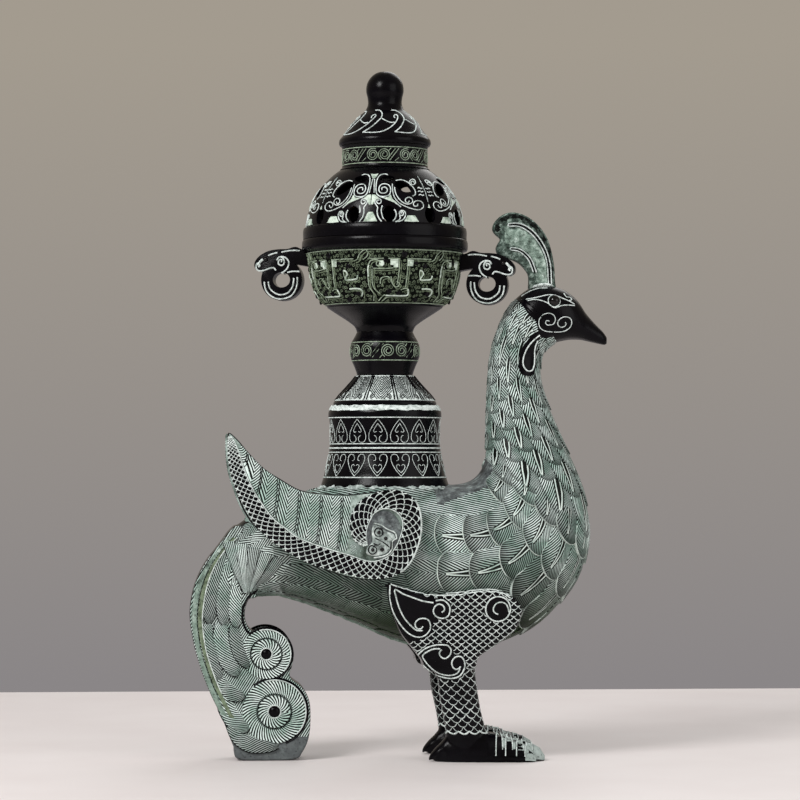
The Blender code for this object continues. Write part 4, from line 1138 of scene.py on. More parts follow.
def featherRow(bm, rings, sRoot, sTip, number):
    stops = [fullTurn * i / 120 for i in range(121)]
    sMiddle = sRoot + (sTip - sRoot) * 0.6
    gone = runLengths([ringPoint(rings, sMiddle, a) for a in stops])
    # the same number row after row: chains on the body, set half a feather apart on the neck
    onNeck = len(rings) > 10 and sRoot > plumage["neckFrom"]
    count = plumage["aroundNeck" if onNeck else "around"]
    bend = plumage["neckBend" if onNeck else "bend"]
    pace = gone[-1] / count
    half = pace * 0.6
    axis = ringPoint(rings, sMiddle, 0.0) * 0.5 + ringPoint(rings, sMiddle, math.pi) * 0.5
    tables = list(zip(gone, stops))
    for k in range(count):
        middle = (k + 0.25 + (0.5 * (number % 2) if onNeck else 0.0)) * pace
        turn = between(tables, middle % gone[-1])
        spot = ringPoint(rings, sMiddle, turn)
        if coveredPlumage(spot, sRoot):
            continue
        # far back the feathers are plain hatched sheets, further forward scales with a slit quill
        plain = spot.x < plumage["plainBehind"]
        onBelly = plain and spot.z < plumage["bellyBelow"]
        coarse = plumage["bellyHatch"] if onBelly else 1.0  # drawn coarser, as it is seen edge-on
        lift = plumage["tipRise"] * (0.4 if plain else 0.6 if onNeck else 1.0)
        length = runLengths([ringPoint(rings, sRoot + (sTip - sRoot) * i / 8, turn) for i in range(9)])[-1]
        over = 1.0 if turn > math.pi else -1.0  # the upper side lies over the feather above
        tone = (math.sin(k * 12.9 + number * 78.2) * 43758.5) % 1.0
        if spot.z > 158.0 and abs(math.cos(turn)) > 0.9:
            tone *= 0.3

        def shorter(a, b):
            return b * (1 - bend * b * (1 - math.sqrt(max(0.0, 1 - a * a))))

        def place(a, b):
            s = sRoot + (sTip - sRoot) * shorter(a, b)
            angle = between(tables, (middle + a * half) % gone[-1])
            out = ringNormal(rings, s, angle)
            flat = ringPoint(rings, s, angle)
            if out.dot(flat - axis) < 0:
                out = -out
            if abs(a) > 0.99 or b < 0.01 or b > 0.99:
                return flat - out * plumage["sink"]
            return flat + out * (lift * b + plumage["crown"] * (1 - a * a) + plumage["tilt"] * over * a)

        def marks(a, b):
            size = (a * half * coarse, length * shorter(a, b) * coarse)
            if plain:
                return plainShare, size
            if onNeck:
                return (0.5 + 0.4 * a, 0.22 + 0.75 * max(0.0, b - 0.45) / 0.55), size
            return (0.5 + 0.5 * a, b), size

        def shade(a):
            return 0.4 * tone + (0.6 if over * a > 0.0 else 0.12) if onNeck else tone

        addPatch(bm, plumage["across"], plumage["along"], place, marks, shade, spot - axis)


def buildPlumage():
    side = 1.5 * math.pi

    def ahead(start, distance):
        t = start
        first = ringPoint(bodyRings, start, side)
        while t > 0.02 and (first - ringPoint(bodyRings, t, side)).length < distance:
            t -= 0.02
        return t

    bm = bmesh.new()
    s, number = plumage["from"], 0
    for reach in plumage["nape"]:
        featherRow(bm, bodyRings, s, ahead(s, reach), number)
        number += 1
    while s > plumage["to"]:
        neck = min(1.0, max(0.0, (s - 9.5) / 4.5))
        step = plumage["neckStep"] * neck + plumage["bodyStep"] * (1 - neck)
        overlap = plumage["neckOverlap" if s > plumage["neckFrom"] else "overlap"]
        featherRow(bm, bodyRings, s, max(0.02, ahead(s, step * overlap)), number)
        s = ahead(s, step)
        number += 1
    # the casting's seam stands out below the feathers, from the tail's root to the thighs
    seam = [ringPoint(tailShape["root"], s, math.pi) for s in (3.0, 2.7, 2.4, 2.1, 1.8)]
    seam += [ringPoint(bodyRings, 0.1 * i, math.pi) for i in range(2, 48)]
    for spot in seam:
        spot.z += 0.5 * noise.noise((spot.x * 0.3, 0.0, 5.0)) - plumage["seamDrop"]
    layLines("belly_seam", [seam], crestPale, radius=plumage["seamRadius"], sides=2)
    finishPiece("body_plumage", bm, featherPatina, merge=False, sharp=38.0)
    bm = bmesh.new()
    for number, (sRoot, sTip) in enumerate(plumage["rootRows"]):
        featherRow(bm, tailShape["root"], sRoot, sTip, number)
    finishPiece("tail_root_plumage", bm, tailPatina, merge=False, sharp=38.0)
    print("plumage laid")


buildPlumage()


# wing: scaled band that ends in a spiral, columns of barbs above it and a beast mask in the spiral
wingOrnament = {
    "outer": [
        (-103.2, 192.5), (-103.4, 182.8), (-102.0, 171.0), (-98.3, 160.0), (-93.3, 149.9), (-87.8, 140.7),
        (-80.1, 132.9), (-71.8, 126.5), (-60.8, 120.0), (-48.9, 115.4), (-36.1, 111.7), (-25.0, 109.3),
        (-14.9, 109.0), (-4.8, 111.1), (2.6, 117.5), (7.2, 126.7), (9.6, 136.8), (9.1, 147.0), (6.3, 154.3),
        (-0.1, 159.4), (-8.4, 160.8), (-17.7, 159.1), (-25.0, 155.3), (-30.1, 149.8), (-32.4, 142.4),
        (-31.9, 136.0), (-29.2, 130.9), (-24.1, 127.7),
    ],
    "inner": [
        (-101.1, 192.0), (-97.0, 183.8), (-93.8, 173.7), (-89.2, 162.7), (-83.7, 153.5), (-76.9, 144.4),
        (-70.0, 138.8), (-62.7, 133.3), (-52.6, 129.2), (-42.5, 125.9), (-31.5, 122.7), (-23.6, 119.9),
        (-17.2, 119.4), (-10.3, 122.2), (-5.7, 127.7), (-2.9, 134.1), (-1.5, 140.5), (-2.9, 145.1),
        (-6.6, 148.4), (-11.2, 149.6), (-15.4, 148.7), (-18.6, 146.1), (-20.4, 142.4), (-21.8, 138.7),
        (-22.1, 135.1), (-22.1, 132.3), (-21.8, 130.0), (-21.3, 128.6),
    ],
    "top": [
        (-101.0, 192.0), (-97.4, 190.0), (-91.0, 182.4), (-81.9, 173.2), (-72.8, 167.3), (-63.6, 161.8),
        (-56.3, 159.5), (-48.1, 158.6), (-33.0, 158.0), (-20.6, 159.2),
    ],
    "columns": [-96.0, -87.5, -79.8, -67.8, -55.2, -42.4, -31.0], "columnLean": -2.6, "cells": 2.7,
    "sag": 0.05, "bandRise": 1.0, "columnRise": 0.6, "disc": (-12.2, 134.0, 10.6, 14.8),
    "face": [
        (-18.6, 140.6), (-14.1, 139.4), (-10.6, 137.0), (-6.4, 135.0), (-5.6, 132.4), (-8.0, 130.8),
        (-8.4, 126.6), (-10.6, 123.8), (-14.1, 122.4), (-18.2, 121.8), (-22.4, 123.4), (-22.2, 127.0),
        (-19.4, 130.6), (-19.8, 136.0),
    ],
    "faceMiddle": (-14.4, 131.2), "faceEyes": [(-15.4, 136.0, 2.7), (-19.0, 125.8, 2.7)],
    "faceDots": [(-11.4, 132.5, 1.2), (-13.5, 126.0, 1.3)],
    "faceDark": [
        [(-17.6, 132.6), (-14.6, 131.2), (-12.0, 129.6), (-9.6, 127.6)], [(-8.2, 130.4), (-8.6, 126.4)],
        [(-18.6, 129.6), (-16.0, 128.6), (-14.6, 129.6)],
    ],
    "facePale": [
        [(-18.4, 141.4), (-14.1, 140.2), (-10.4, 137.8), (-6.0, 135.8), (-5.0, 132.4)],
        [(-5.0, 132.4), (-7.6, 130.6), (-7.8, 126.4), (-10.2, 123.2), (-14.0, 121.8), (-18.4, 121.2)],
    ],
    "bandSteps": 190, "narrowest": 3.6, "netRadius": 0.31, "edgeRadius": 0.36, "rimRadius": 0.65,
    "rimSteps": (118, 150), "quillDashes": 46, "quillRadius": 0.34, "fieldFoot": (-31.0, 123.0),
    "pupil": 1.1, "darkRadius": 0.4, "paleRadius": 0.42,
}


def buildWingOrnament():
    shape = wingOrnament
    outer, inner = smoothRun(shape["outer"], 8), smoothRun(shape["inner"], 8)
    middles = [(a + b) / 2 for a, b in zip(outer, inner)]
    gone = runLengths(middles)
    places = list(zip(gone, range(len(gone))))
    steps = [gone[-1] * share for share in stepsOf(shape["bandSteps"])]
    bandRise = shape["bandRise"]

    def bandSpot(distance, share, rise):
        i = between(places, distance)
        k = min(int(i), len(outer) - 2)
        flat = outer[k].lerp(outer[k + 1], i - k).lerp(inner[k].lerp(inner[k + 1], i - k), share)
        return Vector((flat.x, wingFace(flat.x) - rise, flat.y))

    def onBand(a, b):
        rounded = bandRise * (1.0 if 0.1 < a < 0.9 else 0.75)
        return bandSpot(b, a, raised(a, b / steps[-1], rounded))

    bm = bmesh.new()
    addPatch(bm, [0.0, 0.06, 0.2, 0.5, 0.8, 0.94, 1.0], steps, onBand)
    finishPair("wing_scale_band", bm, blackBronze, merge=False)
    # scales: two sets of slanting lines that cross, the cells as long as they are wide
    cells = shape["cells"]
    travel = [0.0]
    for i, (a, b) in enumerate(zip(middles, middles[1:])):
        width = max(shape["narrowest"], (outer[i] - inner[i]).length)
        travel.append(travel[-1] + (b - a).length * cells / width)
    turns = list(zip(travel, gone))
    paths = []
    for number in range(-3, int(travel[-1]) + 4):
        for way in (1.0, -1.0):
            run = []
            for k in range(31):
                share = 0.03 + 0.94 * k / 30
                u = number + way * (share - 0.5) * cells
                hang = shape["sag"] * abs(math.sin(fullTurn * (share - 0.5) * cells))
                if 0.2 < u < travel[-1] - 0.1:
                    run.append(bandSpot(between(turns, u), max(0.02, share - hang), bandRise - 0.12))
            paths.append(run)
    paths = [run for run in paths if len(run) > 1]
    layLines("wing_scale_net", paths, inlay, radius=shape["netRadius"], pair=True, sides=0)
    edge = [bandSpot(d, 0.975, bandRise * 0.7) for d in steps]
    layLines("wing_band_edge", [edge], inlay, radius=shape["edgeRadius"], pair=True)
    rim = [bandSpot(d, 0.015, bandRise * 0.2) for d in steps[slice(*shape["rimSteps"])]]
    layLines("wing_spiral_rim", [rim], inlay, radius=shape["rimRadius"], pair=True)

    # columns of slanting barbs between the band and the top edge
    bm = bmesh.new()
    quills = []
    foot = sorted(shape["inner"][:12])
    stops = shape["columns"]
    for i, (left, right) in enumerate(zip(stops, stops[1:])):

        def place(a, b):
            x = left + (right - left) * (0.5 + 0.5 * a)
            low = x + shape["columnLean"] * (1 - b)
            bottom, top = between(foot, low) + 0.2, between(shape["top"], x) - 0.6
            flat = low + (x - low) * b
            edge = (i == 0 and a < -0.99) or (i == len(stops) - 2 and a > 0.99) or b in (0.0, 1.0)
            rise = -0.3 if edge else shape["columnRise"]
            return Vector((flat, wingFace(flat) - rise, bottom + (top - bottom) * b))

        def marks(a, b):
            return plainShare, (a * (right - left) / 2, 200.0 - place(a, b).z)

        rows = [0.0, 0.05, 0.3, 0.55, 0.8, 0.95, 1.0]
        addPatch(bm, [-1.0, -0.6, -0.15, 0.15, 0.6, 1.0], rows, place, marks, 0.7)
        # a quill of two rows of small dark dashes
        for k in range(shape["quillDashes"]):
            for aside in (-0.1, 0.1):
                ends = [0.03 + 0.94 * (k + t) / shape["quillDashes"] for t in (0.0, 0.55)]
                quills.append([place(aside, b) + nearSide * 0.05 for b in ends])
    # the small field under the spiral's shoulder
    fieldX, fieldZ = shape["fieldFoot"]

    def onField(a, b):
        y = wingFace(-30.0) - raised(0.5 + 0.5 * a, b, 0.5, 0.3)
        return Vector((fieldX + 3.0 * (a + 1.0) - 1.5 * b, y, fieldZ + 8.0 * b))

    addPatch(
        bm, [-1.0, -0.6, 0.0, 0.6, 1.0], stepsOf(4), onField, lambda a, b: (plainShare, (6.0 * a, 8.0 * b)),
    )
    finishPair("wing_barb_columns", bm, tailPatina, merge=False, sharp=50.0)
    layLines("wing_quill_dashes", quills, blackBronze, radius=shape["quillRadius"], pair=True, sides=0)

    # domed disc with a small beast mask on it
    cx, cz, wide, tall = shape["disc"]
    ground = wingFace(cx)
    oval = [Vector((cx + wide * x, cz + tall * z)) for x, z in spiral(0.0, 0.0, 1.0, 1.0, 1.0, 0.0, 40)[:-1]]
    face = smoothRun(shape["face"], 3, closed=True)
    for name, material, outline, middle, stops, top, fall in (
        ("wing_mask_disc", greyStipple, oval, (cx, cz), [0.0, 0.3, 0.6, 0.85, 0.96, 1.0], 1.3, 1.0),
        ("wing_mask_face", rubbedPaleAndHighlight, face, shape["faceMiddle"], [0.0, 0.4, 0.75, 0.93, 1.0], 2.4, 0.8),
    ):
        def domed(flat, a):
            return Vector((flat.x, ground - (top - fall * a * a if a < 0.99 else -0.3), flat.y))

        bm = bmesh.new()
        addFan(bm, outline, Vector(middle), stops, domed)
        finishPair(name, bm, material, merge=False)
    bm = bmesh.new()
    for x, z, radius in shape["faceDots"] + [(x, z, shape["pupil"]) for x, z, radius in shape["faceEyes"]]:
        spot = Matrix.Translation((x, ground - 1.9, z))
        bmesh.ops.create_uvsphere(bm, u_segments=14, v_segments=10, radius=radius, matrix=spot)
    finishPair("wing_mask_eyes", bm, eyeGlass)
    dark = flatRuns(shape["faceDark"], ground - 2.1)
    for x, z, radius in shape["faceEyes"]:
        socket = spiral(x, z, radius, radius * 0.8, 1.0, 90.0, 24)
        dark.append([Vector((u, ground - 2.0, v)) for u, v in socket])
    layLines("wing_mask_lines", dark, blackBronze, radius=shape["darkRadius"], pair=True)
    pale = flatRuns(shape["facePale"], ground - 1.3)
    layLines("wing_mask_pale_lines", pale, inlay, radius=shape["paleRadius"], pair=True)
    print("wing ornament laid")


buildWingOrnament()

# leg: net of scales on thigh and shank, curled leaves, a hem, and plates and pale claws on the toes
legOrnament = {
    "lines": [
        [
            (-8.8, 105.2), (-8.8, 100.0), (-8.1, 94.9), (-6.6, 89.7), (-4.0, 84.5), (-0.3, 79.4),
            (4.1, 75.7), (8.5, 74.5), (12.2, 75.6), (14.8, 78.6), (15.2, 81.5), (14.1, 84.4), (11.5, 85.6),
            (8.5, 85.2), (6.5, 83.4), (6.3, 81.2), (7.6, 79.5), (9.6, 79.5), (10.9, 80.9),
        ],
        [
            (10.7, 78.4), (7.0, 78.6), (3.4, 81.6), (-0.3, 86.0), (-3.3, 91.9), (-5.1, 97.8), (-5.9, 102.6),
            (-1.1, 100.0), (4.8, 97.8), (10.7, 95.7), (16.7, 94.8),
        ],
        [
            (18.1, 95.9), (22.6, 96.2), (25.9, 93.2), (26.5, 89.9), (25.2, 86.6), (21.8, 85.5),
            (18.1, 87.0), (16.8, 90.0), (17.9, 92.8), (20.4, 93.9), (22.7, 92.7), (23.2, 90.4),
            (21.7, 89.1),
        ],
        [
            (25.5, 69.6), (20.4, 70.0), (15.2, 69.0), (11.5, 67.2), (8.9, 64.6), (8.4, 62.4), (10.0, 59.8),
            (13.0, 56.5), (16.7, 53.5), (21.1, 51.2), (27.0, 49.9), (32.2, 51.0), (34.8, 54.1),
            (35.9, 57.8), (34.8, 61.5), (32.9, 63.0), (30.0, 62.6), (28.1, 60.0), (28.5, 57.1),
            (30.3, 55.4), (32.6, 56.0), (33.2, 57.2),
        ],
        [
            (21.1, 67.5), (17.4, 67.5), (13.7, 66.0), (11.1, 63.8), (11.6, 61.6), (14.4, 57.9),
            (18.1, 54.6), (22.6, 52.3), (27.8, 51.8), (31.5, 53.2), (32.9, 55.6),
        ],
        [
            (25.5, 69.6), (27.4, 67.4), (27.2, 64.5), (25.2, 62.3), (23.2, 61.9), (21.2, 63.3),
            (20.7, 65.4), (22.0, 67.1),
        ],
        [(61.3, 89.0), (60.0, 93.1), (57.1, 94.9), (53.7, 94.2), (52.0, 91.3), (52.6, 89.0), (54.8, 87.8)],
    ],
    "rim": [
        (-8.4, 106.0), (-2.6, 103.6), (4.1, 101.6), (15.2, 99.2), (30.0, 99.2), (44.8, 101.2),
        (55.9, 100.4), (62.0, 97.6),
    ],
    "cell": 5.1, "cellTall": 4.0, "shankTall": 5.3, "sag": 0.17, "around": 9, "hem": 18.4,
    # share of each toe plate's arch that takes a painted highlight
    "paintedHighlights": (0.56, 0.76),
    "rings": [[0.43, 0.56, 0.7, 0.83], [0.42, 0.56, 0.72, 0.84], [0.42, 0.56, 0.72, 0.84]],
    "knee": (54.8, 90.9, 7.3, 7.8), "netFrom": (-20.0, 56.5), "netMiddle": 76.5, "netStep": 0.45,
    "netLines": (-9, 29), "thighSteps": 107, "shankSteps": 89, "curlRadius": 0.5, "thighRadius": 0.27,
    "shankRadius": 0.34, "hemRadius": 0.55, "hemSag": 1.6, "plateEdge": 0.32,
    "clear": [
        [
            (-14.0, 112.0), (-14.0, 72.0), (4.0, 72.0), (12.0, 73.5), (16.0, 77.0), (17.0, 85.0),
            (21.8, 84.6), (26.2, 86.0), (27.6, 90.0), (26.6, 94.0), (22.6, 97.2), (14.0, 97.4),
            (0.0, 103.0),
        ],
        [
            (27.0, 70.6), (20.4, 71.0), (14.8, 70.0), (10.8, 68.2), (7.9, 65.0), (7.4, 62.2), (9.2, 59.2),
            (12.4, 55.7), (16.3, 52.5), (20.9, 50.2), (27.0, 48.9), (32.8, 50.2), (35.8, 53.7),
            (36.9, 57.8), (35.6, 62.2), (33.0, 64.2), (28.6, 64.6), (28.6, 67.6),
        ],
    ],
    "claw": [(0.84, 4.3, 9.9), (0.93, 3.2, 7.6), (0.995, 1.6, 2.9)],
}


def buildLegOrnament():
    shape = legOrnament
    x, z, radius, clearRadius = shape["knee"]
    clear = shape["clear"] + [spiral(x, z, clearRadius, clearRadius, 0.95, 0.0, 20)]
    paths = [curve2(line) for line in shape["lines"]] + [spiral(x, z, radius, radius, 1.0, 0.0, 36)]
    lines = [run for path in paths for run in laidRuns("leg", path, 0.2, None, -10.0)]
    layLines("thigh_curl_lines", lines, inlay, radius=shape["curlRadius"], pair=True)

    def covered(x, z):
        return any(inside(patch, x, z) for patch in clear)

    def sag(rise, tall):
        return shape["sag"] * tall * abs(math.sin(fullTurn * rise / tall))

    # scales: two sets of slanting lines that cross, hanging a little between the crossings
    net = []
    startX, startZ = shape["netFrom"]
    for number in range(*shape["netLines"]):
        for way in (1.0, -1.0):
            points = []
            for k in range(shape["thighSteps"]):
                z = startZ + shape["netStep"] * k
                rise = z - shape["netMiddle"]
                x = startX + shape["cell"] * (number + way * rise / shape["cellTall"])
                points.append((x, z - sag(rise, shape["cellTall"])))
            net += laidRuns("leg", points, 0.04, covered, -24.0)
    layLines("thigh_scale_net", net, inlay, radius=shape["thighRadius"], pair=True, sides=0)
    # the shank's net goes all the way round
    centres = sorted((z, x) for z, x, half in thighShape["shank"])
    around = shape["around"]

    def onShank(turn, z):
        out = Vector((math.cos(turn), math.sin(turn), 0.0))
        start = Vector((between(centres, z), shankY(z), z)) + out * 60.0
        spot = surfaces["leg"].ray_cast(start, -out)[0]
        return spot - out * 0.2 if spot else None

    net = []
    for number in range(around):
        for way in (1.0, -1.0):
            run = []
            for k in range(shape["shankSteps"]):
                rise = shape["netStep"] * k
                turn = fullTurn * (number + way * rise / shape["shankTall"]) / around
                spot = onShank(turn, shape["hem"] + rise - sag(rise, shape["shankTall"]))
                bare = spot and not (spot.y < -(thighShape["footY"] + 4.0) and covered(spot.x, spot.z))
                if bare and (not run or (spot - run[-1]).length < 4.0):
                    run.append(spot)
                else:
                    net.append(run)
                    run = []
            net.append(run)
    net = [run for run in net if len(run) > 1]
    layLines("shank_scale_net", net, inlay, radius=shape["shankRadius"], pair=True, sides=0)
    hem = []
    for i in range(around * 8 + 1):
        drop = shape["hemSag"] * math.sin(math.pi * (i / 8 % 1.0))
        hem.append(onShank(fullTurn * (i / 8) / around, shape["hem"] - drop))
    layLines("shank_hem", [[spot for spot in hem if spot]], inlay, radius=shape["hemRadius"], pair=True)
    # crumbly solder along the thigh's upper edge
    rim = []
    for shift in (0.0, 1.1):
        line = curve2(shape["rim"], 8)
        points = [(x, z + shift + 0.8 * noise.noise((x * 0.35, shift, 3.0))) for x, z in line]
        rim += laidRuns("leg", points, 0.3, None, -20.0)
    layLines("thigh_solder_rim", rim, inlay, radius=shape["curlRadius"], pair=True)

    # overlapping plates over the toes with a painted highlight along each plate's top, pale at the front
    # edge; pale claws
    edges, plates, paintedHighlights, claws = [], bmesh.new(), bmesh.new(), bmesh.new()
    near, far = shape["paintedHighlights"]
    stops = [0.0, 0.04] + [0.1 * i for i in range(1, 10)] + [0.96, 1.0]
    for (tipX, spread), shares in zip(thighShape["toes"], shape["rings"]):
        root, along, side = toeLine(tipX, spread)

        def onToe(share, turn, rise):
            middle = root + along * share + up * 2.0
            out = side * math.cos(turn) + up * math.sin(turn)
            start = middle + out * (7.5 + 14.0 * math.sin(turn))
            spot = (surfaces["leg"].ray_cast(start, -out)[0] or middle) + out * rise
            spot.z = max(0.2, spot.z)
            return spot

        for first, last in zip([shares[0] - 0.13] + shares[:-1], shares):

            def onPlate(a, b, rise=0.0):
                height = raised(a, b, 0.3 + 0.9 * b + rise, 0.3)
                return onToe(first + (last - first) * b, math.pi * (0.06 + 0.88 * a), height)

            # painted highlight: a pale strip raised on the upper outer side of each plate
            def onPaintedHighlight(a, b):
                return onPlate(near + (far - near) * a, 0.1 + 0.8 * b, raised(a, b, 0.2, 0.3))

            addPatch(plates, stops, [0.0, 0.05, 0.5, 0.97, 1.0], onPlate, outward=up)
            edges.append([onPlate(0.04 + 0.92 * i / 16, 0.96, 0.1) for i in range(17)])
            if first >= shares[0]:
                addPatch(
                    paintedHighlights, [0.0, 0.08, 0.5, 0.92, 1.0], [0.0, 0.06, 0.5, 0.94, 1.0], onPaintedHighlight, outward=up,
                )
        arches = [archOver(root + along * s, side, half, h, 0.1, 0.2) for s, half, h in shape["claw"]]
        joinInto(claws, ringLoft(arches))
    layLines("toe_plate_edges", edges, inlay, radius=shape["plateEdge"], pair=True)
    finishPair("toe_plates", plates, blackBronze, merge=False)
    # pale patches on the toe plates: a painted highlight
    finishPair("toe_plate_painted_highlights", paintedHighlights, rubbedPaleAndHighlight, merge=False)
    finishPair("toe_claws", claws, rubbedPaleAndHighlight)
    print("leg ornament laid")


buildLegOrnament()

# tail: long ribbed feathers that roll up into two volutes, each with a stud
tailOrnament = {
    "feathers": [
        ([(-105.0, 126.0), (-109.5, 111.0), (-113.0, 96.0), (-114.0, 80.5)], 5.8),
        ([(-101.0, 120.0), (-104.6, 106.0), (-105.6, 93.0), (-105.0, 79.5)], 5.2),
        ([(-97.6, 107.0), (-98.8, 96.0), (-98.6, 87.0), (-97.4, 78.5)], 4.4),
        ([(-115.4, 82.0), (-114.6, 70.0), (-111.8, 59.0), (-107.0, 47.0)], 5.2),
        ([(-107.4, 82.0), (-106.2, 70.0), (-102.6, 59.0), (-96.0, 50.0)], 5.8),
        ([(-99.6, 80.0), (-98.0, 71.0), (-95.0, 62.0), (-90.0, 55.0)], 4.2),
        ([(-110.4, 54.0), (-106.6, 45.0), (-100.0, 39.5), (-92.0, 38.0)], 5.0),
        ([(-107.0, 40.0), (-102.4, 29.0), (-97.0, 22.0), (-90.0, 18.0)], 5.6),
        ([(-102.0, 23.0), (-95.0, 13.0), (-86.0, 9.0), (-72.0, 8.4)], 5.0),
    ],
    "fan": [
        ([(-102.5, 131.0), (-99.0, 118.5), (-95.0, 106.5), (-92.3, 98.5)], 3.8),
        ([(-95.0, 129.5), (-93.8, 118.0), (-92.7, 107.0), (-91.6, 98.6)], 3.9),
        ([(-87.3, 127.0), (-88.6, 117.0), (-89.8, 107.0), (-90.6, 99.0)], 3.9),
        ([(-79.7, 124.0), (-83.2, 115.0), (-86.9, 106.5), (-89.6, 99.6)], 3.9),
        ([(-72.2, 120.5), (-77.7, 112.5), (-83.3, 105.5), (-88.2, 100.3)], 3.8),
    ],
    "volutes": [(-79.9, 63.2, 3.0, 9.0, 15.0), (-75.1, 29.1, 3.3, 9.8, 19.2)],
    "arch": [(-85.5, 100.8), (-90.8, 96.6), (-93.8, 89.6), (-93.8, 82.6), (-90.8, 76.2), (-84.7, 73.4)],
    "back": [
        (-102.0, 132.6), (-109.0, 124.2), (-116.2, 113.7), (-121.2, 101.5), (-123.4, 88.2), (-122.8, 77.0),
        (-120.0, 62.7), (-115.8, 49.4), (-110.8, 37.2), (-105.6, 26.4),
    ],
    "stripe": [
        (-96.9, 132.3), (-104.0, 125.2), (-111.1, 114.1), (-115.1, 102.9), (-117.1, 91.8), (-117.7, 81.7),
        (-116.1, 68.5), (-113.1, 57.3), (-108.1, 44.1), (-102.0, 31.9), (-96.9, 22.7),
    ],
    "paleRadius": 0.42, "darkRadius": 0.24, "edgeRadius": 0.75,
}


def buildTailOrnament():
    shape = tailOrnament

    def onTail(x, z, rise):
        spot = onSide("tail", x, z, -rise)
        return spot if spot and spot.y < -4.0 else Vector((x, -tailShape["half"] - rise, z))

    bm = bmesh.new()
    # half width along a feather, and how far it stands off
    leaf = [(0.0, 0.5), (0.25, 0.95), (0.6, 1.0), (0.85, 0.72), (1.0, 0.12)]
    pleat = [(0.0, 1.0), (0.5, 0.72), (1.0, 0.14)]
    seams = []
    for number, (spine, half) in enumerate(shape["feathers"] + shape["fan"]):
        folded = number >= len(shape["feathers"])
        taper, base, climb = (pleat, 1.5, 0.0) if folded else (leaf, 0.5, 0.5)
        line = smoothRun(spine, 8)
        length = runLengths(line)[-1]

        def place(a, b):
            i = min(int(b * (len(line) - 1)), len(line) - 2)
            flat = line[i].lerp(line[i + 1], b * (len(line) - 1) - i)
            way = (line[i + 1] - line[i]).normalized()
            spread = half * between(taper, b) * a
            edge = abs(a) > 0.99 or b in (0.0, 1.0)
            rise = -0.4 if edge else base + 0.7 * (1 - a * a) + climb * b
            return onTail(flat.x - way.y * spread, flat.y + way.x * spread, rise)

        def marks(a, b):
            if folded:
                return plainShare, (-10.0, a * half * 1.7)
            return (0.6 + 0.4 * max(0.0, a), 0.55 + 0.35 * b), (-half * (1.0 + a), b * length)

        stops = [-1.0, -0.92, -0.6, -0.2, 0.2, 0.6, 0.92, 1.0]
        addPatch(bm, stops, stepsOf(16), place, marks, (number * 0.37 + 0.2) % 1.0)
        seams.append([place(-0.95, 0.02 + 0.96 * i / 16) + nearSide * 0.15 for i in range(17)])
    for cx, cz, stud, inner, outer in shape["volutes"]:
        for low, high, rise in ((stud, inner, 1.5), (inner + 0.5, outer, 0.9)):

            def onVolute(a, b):
                r = low + (high - low) * a
                height = rise if 0.0 < a < 1.0 else -0.4
                return onTail(cx + r * math.cos(fullTurn * b), cz + r * math.sin(fullTurn * b), height)

            def voluteMarks(a, b):
                return plainShare, (-0.1 - 0.55 * (high - low) * a, 1.2 * fullTurn * b * (low + high) / 2)

            addPatch(bm, [0.0, 0.07, 0.35, 0.65, 0.93, 1.0], stepsOf(48), onVolute, voluteMarks, 0.8)
    finishPair("tail_feathers", bm, tailPatina, merge=False, sharp=45.0)
    # a pale and a dark strip along the back edge
    stripe, back = smoothRun(shape["stripe"], 6), smoothRun(shape["back"], 6)
    for name, near, far, material in (
        ("tail_dark_strip", 0.0, 0.5, deepInlay), ("tail_pale_strip", 0.55, 1.12, crestPale),
    ):
        def onStrip(a, b):
            one, two = (line[round(b * (len(line) - 1))] for line in (stripe, back))
            return onTail(*one.lerp(two, near + (far - near) * a), raised(a, b, 1.5))

        bm = bmesh.new()
        addPatch(bm, [0.0, 0.1, 0.5, 0.9, 1.0], stepsOf(40), onStrip)
        finishPair(name, bm, material, merge=False, sharp=45.0)

    def arc(cx, cz, radius, rise, turns, start, steps):
        return [onTail(x, z, rise) for x, z in spiral(cx, cz, radius, radius, turns, start, steps)]

    studs = bmesh.new()
    lines, dark, edges = [], [], []
    for cx, cz, stud, inner, outer in shape["volutes"]:
        place = Matrix.Translation(onTail(cx, cz, 0.4)) @ Matrix.Diagonal((1.0, 0.6, 1.0, 1.0))
        bmesh.ops.create_uvsphere(studs, u_segments=24, v_segments=14, radius=stud, matrix=place)
        lines.append(arc(cx, cz, stud + 0.5, 1.4, 1.0, 0.0, 30))
        lines.append(arc(cx, cz, outer - 0.5, 1.0, 0.42, -45.0, 80))
        dark.append(arc(cx, cz, inner + 0.3, 1.2, 1.0, 0.0, 44))
        edges.append(arc(cx, cz, outer + 0.5, 0.1, 0.55, -70.0, 80))
    finishPair("tail_studs", studs, blackBronze)
    edges.append([onTail(x, z, 0.1) for x, z in curve2(shape["arch"], 5)])
    lines.append([onTail(p.x, p.y, 1.3) for p in stripe[:-10]])
    layLines("tail_pale_lines", lines, inlay, radius=shape["paleRadius"], pair=True)
    layLines("tail_dark_lines", dark + seams, blackBronze, radius=shape["darkRadius"], pair=True)
    layLines("tail_dark_edges", edges, blackBronze, radius=shape["edgeRadius"], pair=True)
    print("tail ornament laid")


buildTailOrnament()

